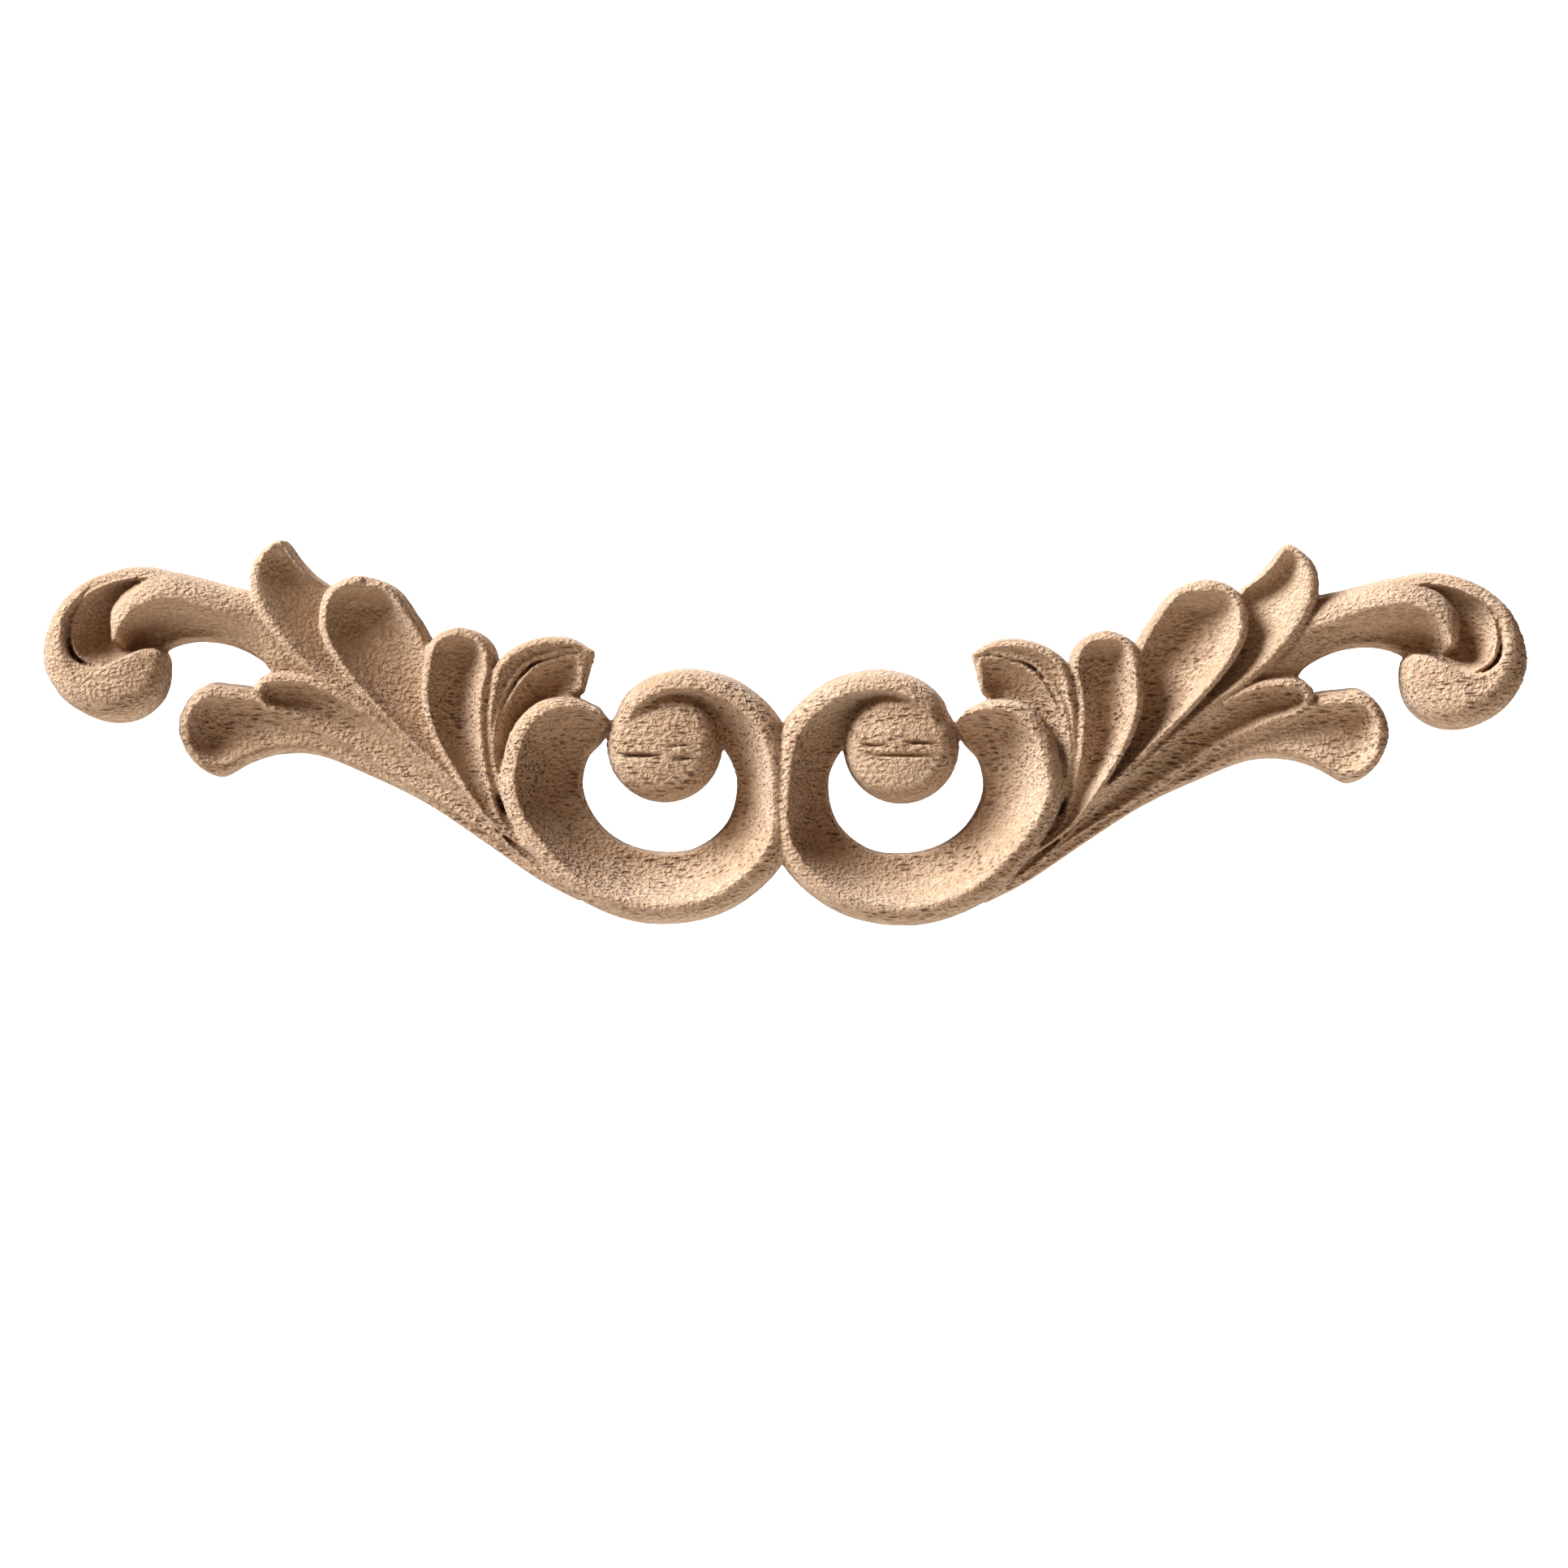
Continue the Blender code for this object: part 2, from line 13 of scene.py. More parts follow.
import bmesh
import bpy
import numpy as np
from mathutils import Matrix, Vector


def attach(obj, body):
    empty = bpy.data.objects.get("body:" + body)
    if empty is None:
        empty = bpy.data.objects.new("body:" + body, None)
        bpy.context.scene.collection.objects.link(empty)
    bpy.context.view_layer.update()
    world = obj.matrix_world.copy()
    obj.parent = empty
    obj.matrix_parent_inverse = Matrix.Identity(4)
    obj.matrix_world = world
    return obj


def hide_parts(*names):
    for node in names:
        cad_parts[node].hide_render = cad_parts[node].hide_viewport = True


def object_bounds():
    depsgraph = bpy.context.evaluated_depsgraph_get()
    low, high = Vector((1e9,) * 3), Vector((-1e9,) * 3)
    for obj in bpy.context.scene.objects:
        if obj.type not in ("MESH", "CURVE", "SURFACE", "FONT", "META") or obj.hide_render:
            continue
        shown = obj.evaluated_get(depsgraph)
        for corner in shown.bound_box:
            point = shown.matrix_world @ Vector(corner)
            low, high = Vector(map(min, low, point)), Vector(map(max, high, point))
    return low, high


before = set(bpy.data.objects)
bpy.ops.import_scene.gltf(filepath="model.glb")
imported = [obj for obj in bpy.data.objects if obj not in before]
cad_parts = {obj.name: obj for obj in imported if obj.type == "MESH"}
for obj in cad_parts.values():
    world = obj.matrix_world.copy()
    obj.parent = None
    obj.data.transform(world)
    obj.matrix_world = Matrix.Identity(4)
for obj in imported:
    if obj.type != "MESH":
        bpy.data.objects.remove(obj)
cad_box = [list(corner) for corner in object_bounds()]
print("nodes:", list(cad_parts))
print("CAD box, mm:", [[round(v * 1000, 2) for v in corner] for corner in cad_box])

# %% [markdown]
# ## The carver's drawing
#
# A carver draws each leaf with two edges and thinks of how high its rims stand. Here each form is a
# list of rungs, as on a ladder laid over the leaf: a rung has the upper edge, the lower edge, the
# height of the rim at either end, and how deep the hollow between them is. All of it is in millimetres,
# for the right half only, with X along the length and Z up. The scroll is drawn about its own centre
# instead, by angle and radius.

# %% Rungs of the scroll
SCROLL_CENTRE = (17.0, 1.5)
SCROLL_HOLLOW = 0.5

# Radii of the scroll about its centre: angle in degrees, outer edge, inner edge, rim height, inner height
SCROLL_TURN = [
    (51, 12.6, 9.4, 7.6, 6.8),
    (44, 16.2, 9.1, 8.3, 5.0),
    (32, 19.4, 9.0, 8.7, 3.2),
    (16, 20.8, 9.8, 8.8, 2.6),
    (-8, 21.1, 10.1, 8.8, 2.6),
    (-36, 19.5, 9.8, 8.8, 2.6),
    (-62, 19.3, 9.6, 8.8, 2.6),
    (-90, 19.6, 9.7, 8.8, 2.6),
    (-120, 20.2, 10.6, 8.8, 2.6),
    (-150, 20.4, 11.1, 8.8, 2.6),
    (-180, 18.6, 10.8, 8.8, 2.6),
    (-205, 18.6, 9.9, 8.8, 2.6),
    (-229, 17.4, 9.0, 8.8, 2.8),
    (-251, 15.9, 9.2, 8.8, 3.4),
    (-267, 14.6, 8.2, 8.8, 5.4),
    (-280, 13.4, 6.6, 8.5, 7.9),
    (-292, 12.0, 5.2, 8.0, 7.9),
    (-303, 10.3, 4.6, 7.0, 7.4),
]
print("the scroll turns through", SCROLL_TURN[0][0] - SCROLL_TURN[-1][0], "degrees")

# %% Rungs of the leaves
# Each rung is (upper edge, lower edge, upper rim height, lower rim height, depth of the hollow).
# The bed is low ground that ties the leaf stems together under their grooves.
BED = [
    ((29.5, -9.0), (28.0, -14.0), 4.2, 4.2, 0.0),
    ((33.5, 2.0), (33.0, -11.0), 4.2, 4.2, 0.0),
    ((36.0, 14.0), (41.0, -5.8), 2.8, 2.8, 0.0),
    ((43.0, 15.0), (48.5, -0.8), 2.8, 2.8, 0.0),
    ((52.0, 18.0), (56.0, 2.8), 2.8, 2.8, 0.0),
    ((60.0, 20.0), (61.0, 5.5), 2.8, 2.8, 0.0),
    ((66.0, 22.0), (65.5, 8.0), 2.8, 2.8, 0.0),
]
LEAF_ONE = [
    ((29.9, -12.1), (28.8, -11.0), 4.4, 4.0, 0.0),
    ((42.5, -2.4), (39.7, -1.3), 5.0, 4.0, 0.5),
    ((50.7, 4.8), (46.9, 6.3), 5.6, 3.6, 0.9),
    ((58.4, 11.4), (52.9, 13.3), 6.2, 3.2, 1.2),
    ((64.4, 15.7), (57.8, 18.2), 6.4, 3.2, 1.3),
    ((69.0, 20.7), (60.0, 23.1), 6.8, 3.2, 1.4),
    ((71.7, 25.3), (61.1, 27.1), 6.9, 4.0, 1.8),
    ((72.2, 28.3), (63.4, 28.9), 6.8, 5.2, 2.1),
    ((71.7, 30.6), (65.3, 30.9), 6.7, 6.0, 2.0),
    ((70.3, 32.3), (66.5, 32.6), 6.6, 6.4, 1.3),
    ((68.6, 33.2), (67.4, 33.6), 6.5, 6.5, 0.4),
]
LEAF_TWO = [
    ((29.9, -11.8), (28.8, -10.7), 4.8, 4.6, 0.0),
    ((40.8, -3.0), (37.8, -2.1), 5.8, 4.8, 0.7),
    ((48.5, 4.4), (42.5, 4.7), 6.5, 4.8, 1.5),
    ((55.6, 11.4), (45.0, 11.2), 7.0, 4.8, 2.2),
    ((60.0, 16.4), (46.0, 16.7), 7.2, 4.9, 2.8),
    ((62.6, 21.1), (48.4, 21.9), 7.3, 5.4, 3.2),
    ((62.6, 25.3), (50.4, 25.1), 7.2, 5.9, 3.4),
    ((62.4, 29.2), (50.6, 28.2), 7.0, 6.3, 3.3),
]
LEAF_THREE = [
    ((29.9, -11.6), (28.8, -10.5), 5.4, 5.2, 0.0),
    ((39.7, -4.3), (36.7, -4.6), 6.5, 5.8, 0.9),
    ((44.1, 1.6), (38.4, 0.9), 7.3, 6.3, 2.0),
    ((47.4, 7.4), (39.3, 6.3), 7.6, 6.8, 2.8),
    ((48.8, 12.3), (39.3, 12.3), 7.8, 7.2, 3.4),
    ((48.6, 16.6), (38.5, 16.2), 7.8, 7.3, 3.6),
    ((48.0, 19.7), (38.7, 18.9), 7.6, 7.3, 3.4),
    ((47.6, 22.0), (38.9, 21.6), 7.4, 7.1, 2.8),
]
FAN_TOP = [
    ((34.3, -7.3), (33.2, -6.7), 5.2, 5.4, 0.0),
    ((38.2, -0.8), (36.9, -0.7), 5.8, 6.0, 0.0),
    ((39.7, 4.7), (38.2, 4.2), 6.2, 6.4, 0.1),
    ((40.0, 9.6), (37.9, 8.8), 6.8, 6.8, 0.3),
    ((39.7, 13.4), (36.7, 12.6), 7.4, 7.0, 0.5),
    ((38.8, 16.9), (35.1, 15.0), 7.8, 7.2, 0.7),
    ((36.5, 19.2), (33.2, 16.9), 8.0, 7.3, 0.7),
    ((32.6, 20.7), (30.2, 17.8), 8.0, 7.3, 0.5),
    ((28.8, 20.6), (27.9, 18.2), 7.6, 7.2, 0.2),
    ((25.6, 18.8), (25.5, 18.0), 7.0, 7.0, 0.0),
]
FAN_LOW = [
    ((34.8, -7.4), (32.6, -6.7), 5.0, 4.6, 0.0),
    ((37.8, -0.9), (34.3, -0.7), 5.6, 4.8, 0.4),
    ((39.0, 4.8), (34.3, 4.7), 6.0, 4.8, 0.7),
    ((38.6, 9.5), (34.1, 8.0), 6.4, 4.8, 0.8),
    ((37.2, 12.8), (33.2, 9.7), 6.7, 4.7, 0.8),
    ((35.4, 15.25), (31.6, 11.0), 6.9, 4.6, 0.8),
    ((33.35, 17.15), (29.9, 11.7), 7.0, 4.6, 0.8),
    ((30.45, 18.25), (28.6, 12.2), 7.0, 4.8, 0.8),
    ((28.1, 18.8), (27.7, 12.6), 7.0, 5.4, 0.6),
    ((26.6, 18.6), (27.2, 13.0), 7.0, 6.2, 0.2),
    ((25.5, 18.5), (26.9, 13.2), 6.8, 6.4, 0.0),
]
LEAF_FOUR = [
    ((28.8, -13.2), (27.5, -14.7), 4.6, 4.2, 0.0),
    ((33.2, -10.0), (31.6, -12.3), 4.8, 4.4, 0.3),
    ((39.7, -4.3), (37.6, -7.5), 4.9, 4.6, 0.6),
    ((45.8, 1.9), (44.1, -3.5), 5.0, 4.6, 0.9),
    ((51.8, 7.9), (50.7, 0.3), 5.5, 4.5, 1.3),
    ((58.4, 12.7), (57.3, 4.4), 6.0, 4.4, 1.7),
    ((63.8, 15.5), (63.3, 7.6), 6.4, 4.7, 2.2),
    ((68.2, 15.9), (67.7, 9.3), 6.6, 5.2, 2.7),
    ((71.6, 15.6), (71.2, 9.6), 6.5, 5.8, 2.8),
]
LEAF_FIVE = [
    ((28.8, -12.2), (27.5, -15.0), 4.6, 3.8, 0.0),
    ((35.4, -7.8), (33.2, -12.0), 4.0, 3.6, 0.1),
    ((42.5, -3.0), (40.8, -6.8), 3.9, 3.6, 0.2),
    ((49.6, 1.9), (48.5, -1.8), 3.9, 3.6, 0.3),
    ((56.7, 6.2), (56.2, 1.9), 4.0, 3.6, 0.3),
    ((62.7, 9.5), (63.0, 4.5), 4.4, 3.6, 0.4),
    ((67.7, 12.0), (68.2, 4.6), 4.9, 3.8, 0.9),
    ((71.5, 13.7), (72.1, 3.4), 5.6, 4.3, 1.6),
    ((75.3, 14.2), (75.7, 1.5), 6.2, 5.0, 2.4),
    ((77.4, 14.4), (77.8, 1.9), 6.7, 5.5, 3.0),
    ((81.4, 14.0), (81.4, 2.6), 7.0, 6.3, 3.4),
]

# %% Rungs of the arm and its curl
ARM = [
    ((50.7, 6.3), (49.6, 4.6), 4.0, 3.8, 0.0),
    ((61.1, 16.0), (60.5, 10.4), 4.8, 4.4, 0.0),
    ((67.1, 22.0), (67.8, 14.2), 5.6, 4.6, 0.0),
    ((71.3, 26.3), (70.6, 17.2), 6.3, 4.6, 0.0),
    ((75.3, 27.5), (74.6, 19.2), 7.1, 4.2, 0.2),
    ((79.4, 28.6), (78.8, 19.8), 7.7, 3.5, 0.7),
    ((83.5, 29.3), (82.2, 19.2), 8.1, 3.0, 1.3),
    ((87.6, 28.0), (84.9, 17.8), 8.2, 2.8, 1.6),
    ((90.4, 25.4), (87.4, 17.0), 8.0, 3.0, 1.2),
    ((91.4, 22.1), (89.4, 17.0), 7.4, 3.8, 0.4),
]
CURL = [
    ((81.9, 29.1), (81.3, 27.6), 5.6, 6.2, 0.0),
    ((86.3, 30.0), (85.6, 28.2), 6.0, 6.8, 0.0),
    ((90.7, 29.5), (89.5, 27.6), 6.6, 7.2, 0.0),
    ((95.0, 27.5), (93.1, 26.0), 7.2, 7.4, 0.0),
    ((98.2, 24.0), (95.6, 24.0), 7.8, 7.7, 0.0),
    ((100.0, 18.8), (96.2, 21.3), 8.2, 7.9, 0.0),
    ((99.2, 14.4), (95.8, 18.4), 8.6, 8.3, 0.0),
    ((96.4, 11.0), (94.2, 16.9), 9.0, 8.4, 0.0),
    ((91.8, 8.9), (91.8, 16.5), 9.3, 8.8, 0.0),
    ((87.4, 9.2), (89.2, 17.7), 8.9, 8.6, 0.0),
    ((84.0, 11.9), (86.6, 18.9), 8.0, 7.9, 0.0),
    ((82.6, 15.9), (83.7, 19.3), 7.0, 7.0, 0.0),
]
CHANNEL = [
    ((83.0, 28.8), (83.0, 27.8), 5.8, 5.6, 0.0),
    ((87.4, 28.9), (86.8, 27.0), 6.2, 5.0, 0.3),
    ((91.4, 28.1), (89.2, 25.7), 6.6, 4.2, 0.5),
    ((94.3, 26.3), (89.9, 23.8), 7.0, 3.6, 0.8),
    ((96.0, 23.9), (90.0, 21.9), 7.2, 3.5, 1.0),
    ((96.5, 20.8), (89.7, 20.2), 7.4, 3.5, 1.0),
    ((95.6, 17.8), (89.3, 18.7), 7.3, 3.8, 0.8),
    ((92.5, 15.8), (88.0, 18.6), 6.9, 4.6, 0.5),
    ((88.6, 15.2), (86.0, 19.2), 6.0, 4.8, 0.2),
]

# %% [markdown]
# ## Reading a smooth rung anywhere
#
# Between the drawn rungs the form has to flow, as it does under a round cutter. A Hermite curve through
# the rungs gives that: each value of a rung leaves and arrives with the slope of its neighbours. More
# rungs are read near a leaf's tip, because that is where it rounds over.

# %% Smooth rungs
# A rounded tip gets this many rungs, and they stop this many degrees round it
TIP_RUNGS = 24
TIP_TURN = 89


def stations(total, count, crowding, tip_length):
    """Distances along a loft: closer together towards the tip, and closest where the tip rounds over."""
    body = total - tip_length
    places = [body * (1 - (1 - k / (count - 1)) ** crowding) for k in range(count)]
    if tip_length:
        for k in range(1, TIP_RUNGS + 1):
            places.append(body + tip_length * math.sin(math.radians(TIP_TURN) * k / TIP_RUNGS))
    return places


def smooth_rungs(rungs, count, crowding, tip_length):
    """Rungs read along a smooth curve, each as (distance to the tip, share of the way there, values)."""
    rows = [[*upper, *lower, *rest] for upper, lower, *rest in rungs]
    middles = [Vector(((r[0] + r[2]) / 2, (r[1] + r[3]) / 2)) for r in rows]
    knots = [0.0]
    for before, after in zip(middles, middles[1:]):
        knots.append(knots[-1] + (after - before).length)
    last = len(rows) - 1
    slopes = []
    for i in range(len(rows)):
        a = max(i - 1, 0)
        b = min(i + 1, last)
        slopes.append([(q - p) / (knots[b] - knots[a]) for p, q in zip(rows[a], rows[b])])
    result = []
    for place in stations(knots[-1], count, crowding, tip_length):
        i = min(bisect.bisect_right(knots, place) - 1, last - 1)
        span = knots[i + 1] - knots[i]
        t = (place - knots[i]) / span
        end_weight = 3 * t**2 - 2 * t**3
        start_slope = (t**3 - 2 * t**2 + t) * span
        end_slope = (t**3 - t**2) * span
        row = []
        for p, q, m, n in zip(rows[i], rows[i + 1], slopes[i], slopes[i + 1]):
            row.append(p + (q - p) * end_weight + start_slope * m + end_slope * n)
        result.append((knots[-1] - place, place / knots[-1], row))
    return result


# %% [markdown]
# ## The section of a leaf
#
# Cut a leaf across and you see a nearly upright wall, a rounded rim, and a hollow that is scooped out
# between the two rims. The wall leans in by a fraction of a millimetre, as a tapered cutter leaves it.
# Towards the tip both rims come together and the hollow runs out.

# %% Sections
# How far a wall leans in and how far it runs on below the back, in millimetres
WALL_DRAFT = 0.4
BELOW_BACK = 1.0

# The most of its side that a rim fills, of that room that the lean takes, of a lip's height that its rounding
# drops, and of the gap between the lips that the hollow goes down
RIM_ROOM = 0.96
DRAFT_ROOM = 0.4
DEEPEST_ROUNDING = 0.6
DEEPEST_HOLLOW = 0.5

# The hollow runs out towards the tip over this many widths of the tip's rim
TIP_FLOOR = 1.5
FLANK_POINTS = 9
FLOOR_POINTS = 21


def close_tip(row, to_tip, length, pivot):
    """Draw both edges in to a point between them; tell by how much, and how slanted the rims then run."""
    if not length or to_tip >= length:
        return row, 1.0, 1.0
    x = 1 - to_tip / length
    keep = math.sqrt(1 - x * x)
    edge_a = Vector(row[0:2])
    edge_b = Vector(row[2:4])
    turn = edge_a.lerp(edge_b, pivot)
    slant = math.hypot(1, (edge_b - edge_a).length / 2 * x / (length * keep))
    return [*turn.lerp(edge_a, keep), *turn.lerp(edge_b, keep), *row[4:]], keep, slant


def flank(lip, draft, rim, reach, slant, to_tip, shape):
    """Distance from the edge and height, from under the foot of a wall up its rounded rim to the lip."""
    drop = min(rim * shape["roundness"], lip * DEEPEST_ROUNDING)
    slope = draft / (lip - drop)
    most = to_tip / shape["tip_rim"] if shape["tip_rim"] else 1.0
    points = [(-slope * BELOW_BACK, -BELOW_BACK)]
    for k in range(FLANK_POINTS):
        angle = math.pi / 2 * k / (FLANK_POINTS - 1)
        run = reach * (1 - math.cos(angle))
        level = min(run / (rim * slant), most, 1.0)
        points.append((draft + run, lip - drop * (1 - math.sqrt(1 - (1 - level) ** 2))))
    return points


def floor_level(v, start, end, depth, shape):
    """Height of the floor between the lips, at a share v of the way across it."""
    if shape["soft"]:
        fall = (1 + math.cos(math.pi * v)) / 2
    else:
        fall = (1 - v) ** shape["cove"]
    dip = depth * (1 - abs(2 * v ** shape["lean"] - 1) ** shape["bowl"])
    return end[1] + (start[1] - end[1]) * fall - min(dip, (end[0] - start[0]) * DEEPEST_HOLLOW)


def section(open_row, to_tip, along, shape):
    """Points across one rung as (x, z, height), from below one edge, over the top, to below the other."""
    row, keep, slant = close_tip(open_row, to_tip, shape["tip_length"], shape["pivot"])
    edge_a = Vector(row[0:2])
    edge_b = Vector(row[2:4])
    width = (edge_b - edge_a).length
    across = (edge_b - edge_a) / width
    share = shape["share"][0] + (shape["share"][1] - shape["share"][0]) * along
    depth = row[6]
    tip_rim = shape["tip_rim"]
    if tip_rim:
        depth *= math.sqrt(min(max((to_tip - tip_rim) / (tip_rim * TIP_FLOOR), 0.0), 1.0))
    sides = []
    for lip, part, rims in ((4, share, "rim_a"), (5, 1 - share, "rim_b")):
        room = width * part * RIM_ROOM
        draft = min(WALL_DRAFT, room * DRAFT_ROOM)
        at_root, at_tip = shape[rims]
        rim = at_root + (at_tip - at_root) * along
        rim = min(rim, room / keep - draft)
        reach = min(rim * slant, room - draft)
        sides.append(flank(row[lip], draft, rim, reach, slant, to_tip, shape))
    first = sides[0]
    second = [(width - d, h) for d, h in reversed(sides[1])]
    start = first[-1]
    end = second[0]
    middle = []
    for k in range(1, FLOOR_POINTS + 1):
        v = k / (FLOOR_POINTS + 1)
        middle.append((start[0] + (end[0] - start[0]) * v, floor_level(v, start, end, depth, shape)))
    return [(*(edge_a + across * d), h) for d, h in first + middle + second]


print("points across a section:", 2 * (FLANK_POINTS + 1) + FLOOR_POINTS)

# %% [markdown]
# ## Lofting a form
#
# A loft joins each section to the next with a band of faces and closes both ends. The carving faces -Y,
# so a height above the back becomes -Y. Each form carries only the settings in which it differs from a
# plain leaf.

# %% Settings of the forms
# count, crowding: how many rungs are read, and how much closer they stand towards the tip
# tip_length, tip_rim, pivot: length of the rounded tip, width of its rim, and where between the edges it ends
# rim_a, rim_b, roundness: widths of the upper and the lower rim, at root and tip, and how far they round down
# share: how much of the width belongs to the upper side, at root and tip
# soft, cove, lean, bowl: how the floor falls from the upper lip to the lower, and where and how it is hollow
PLAIN_FORM = {
    "count": 70, "crowding": 1.4, "tip_length": 0.0, "tip_rim": 0.0, "pivot": 0.5,
    "rim_a": (1.1, 1.1), "rim_b": (1.1, 1.1), "roundness": 1.1, "share": (0.5, 0.5),
    "soft": False, "cove": 1.0, "lean": 0.7, "bowl": 2.6,
}
FORMS = [
    (BED, {"rim_a": (0.3, 0.3), "rim_b": (0.3, 0.3)}),
    (FAN_LOW, {"rim_a": (0.4, 0.4), "rim_b": (0.5, 0.5), "lean": 1.0, "tip_rim": 0.8}),
    (FAN_TOP, {"rim_b": (0.2, 0.2)}),
    (LEAF_THREE, {
        "rim_a": (0.5, 1.2), "rim_b": (0.5, 1.0), "lean": 1.0, "bowl": 1.9, "tip_length": 3.4, "tip_rim": 1.4,
    }),
    (LEAF_TWO, {
        "rim_a": (0.4, 1.2), "rim_b": (0.4, 1.1), "lean": 1.0, "bowl": 2.8, "tip_length": 4.4, "tip_rim": 1.7,
    }),
    (LEAF_ONE, {"rim_a": (0.4, 1.2), "rim_b": (0.4, 0.4), "lean": 1.6, "bowl": 2.6, "tip_rim": 1.0}),
    (LEAF_FOUR, {"rim_a": (0.4, 1.3), "rim_b": (0.4, 1.1), "tip_length": 3.0, "tip_rim": 1.3, "pivot": 0.4}),
    (LEAF_FIVE, {"rim_a": (0.4, 1.9), "rim_b": (0.1, 1.3), "tip_length": 4.6, "tip_rim": 1.7}),
    (ARM, {"rim_a": (3.0, 3.6), "rim_b": (0.5, 0.5), "soft": True, "tip_length": 1.8, "tip_rim": 1.5}),
    (CURL, {
        "crowding": 1.0, "rim_a": (5.0, 2.8), "rim_b": (0.1, 0.8), "roundness": 0.95, "share": (0.92, 0.7),
        "tip_length": 1.5,
    }),
    (CHANNEL, {"crowding": 1.0, "rim_a": (0.5, 0.5), "rim_b": (0.2, 0.2), "roundness": 2.0, "cove": 1.5}),
]
SCROLL_FORM = {"count": 260, "crowding": 1.0, "rim_a": (2.1, 2.8), "rim_b": (0.2, 0.2), "cove": 1.7}
print("forms in each half:", len(FORMS) + 1)

# %% Lofts of the right half


def skin(mesh, rings):
    """Faces between each ring of corners and the next."""
    for ring, following in zip(rings, rings[1:]):
        for k in range(len(ring)):
            n = (k + 1) % len(ring)
            mesh.faces.new((ring[k], ring[n], following[n], following[k]))


def loft(mesh, rungs, changes):
    """Add one carved form to the mesh as a closed skin."""
    shape = {**PLAIN_FORM, **changes}
    rings = []
    for to_tip, along, row in smooth_rungs(rungs, shape["count"], shape["crowding"], shape["tip_length"]):
        points = section(row, to_tip, along, shape)
        rings.append([mesh.verts.new([v / 1000 for v in (x, -h, z)]) for x, z, h in points])
    skin(mesh, rings)
    mesh.faces.new(rings[0])
    mesh.faces.new(rings[-1])


def scroll_rungs():
    """Rungs of the scroll, from its hooked start, round the opening, to the top of the eye."""
    rungs = []
    cx, cz = SCROLL_CENTRE
    for degrees, outer, inner, rim, low in SCROLL_TURN:
        c = math.cos(math.radians(degrees))
        s = math.sin(math.radians(degrees))
        outer_edge = (cx + outer * c, cz + outer * s)
        inner_edge = (cx + inner * c, cz + inner * s)
        rungs.append((outer_edge, inner_edge, rim, low, SCROLL_HOLLOW))
    return rungs


half = bmesh.new()
loft(half, scroll_rungs(), SCROLL_FORM)
for rungs, changes in FORMS:
    loft(half, rungs, changes)
print("lofts:", len(half.faces), "faces")

# %% [markdown]
# ## The eye of the scroll
#
# The eye is a round button with a gently domed face and a rounded edge. It is the one turned shape
# here, so its profile is drawn once and carried round in rings.

# %% Eyes
EYE_CENTRE = (16.0, 6.2)
EYE_RADIUS = 7.8
EYE_HEIGHT = 8.3

# Rise of the dome, width and drop of the rounded rim, and how far the wall has flared out below the back
EYE_DOME = 0.5
EYE_RIM = 2.6
EYE_RIM_DROP = 2.8
EYE_FLARE = 0.1
EYE_SIDES = 120
DOME_STEPS = 6
RIM_STEPS = 12


def eye(mesh):
    """Add the eye inside the scroll as a closed turned shape."""
    lip = EYE_RADIUS - WALL_DRAFT - EYE_RIM
    profile = []
    for k in range(1, DOME_STEPS):
        profile.append((lip * k / DOME_STEPS, EYE_HEIGHT - EYE_DOME * (k / DOME_STEPS) ** 2))
    for k in range(RIM_STEPS + 1):
        angle = math.pi / 2 * k / RIM_STEPS
        height = EYE_HEIGHT - EYE_DOME - EYE_RIM_DROP * (1 - math.cos(angle))
        profile.append((lip + EYE_RIM * math.sin(angle), height))
    profile.append((EYE_RADIUS + EYE_FLARE, -BELOW_BACK))
    cx, cz = EYE_CENTRE
    rings = []
    for radius, height in profile:
        turns = [2 * math.pi * k / EYE_SIDES for k in range(EYE_SIDES)]
        ring = [(cx + radius * math.cos(t), -height, cz + radius * math.sin(t)) for t in turns]
        rings.append([mesh.verts.new([v / 1000 for v in point]) for point in ring])
    skin(mesh, rings)
    mesh.faces.new(rings[0])
    mesh.faces.new(rings[-1])


eye(half)
print("with the eye:", len(half.faces), "faces")

# %% [markdown]
# ## Fusing everything into one skin
#
# The real piece is one board, so no seam may be left where two leaves meet. A voxel remesh does that
# well: it fills space with small cubes and wraps one skin round all that is inside any of the closed
# lofts. It also rounds each sharp edge by about the size of one cube, a fifth of a millimetre, as raw
# wood is where a cutter leaves it. The second half is a mirror image, so it is added before fusing, and
# the normals are worked out again because mirroring turns faces inside out.

# %% Both halves as one object
mirrored = bmesh.ops.duplicate(half, geom=half.verts[:] + half.edges[:] + half.faces[:])
for vert in [item for item in mirrored["geom"] if isinstance(item, bmesh.types.BMVert)]:
    vert.co.x = -vert.co.x
bmesh.ops.recalc_face_normals(half, faces=half.faces)
lofts = bpy.data.meshes.new("carved_wood")
half.to_mesh(lofts)
half.free()
carved = bpy.data.objects.new("carved_wood", lofts)
bpy.context.scene.collection.objects.link(carved)
print("both halves:", len(lofts.polygons), "faces")

# %% One fused skin
VOXEL = 0.0002
SMOOTH_SHARE = 0.5
SMOOTH_ROUNDS = 2


def bake_modifiers(obj):
    """Turn the object's modifiers into its plain mesh."""
    evaluated = obj.evaluated_get(bpy.context.evaluated_depsgraph_get())
    baked = bpy.data.meshes.new_from_object(evaluated)
    obj.modifiers.clear()
    obj.data = baked


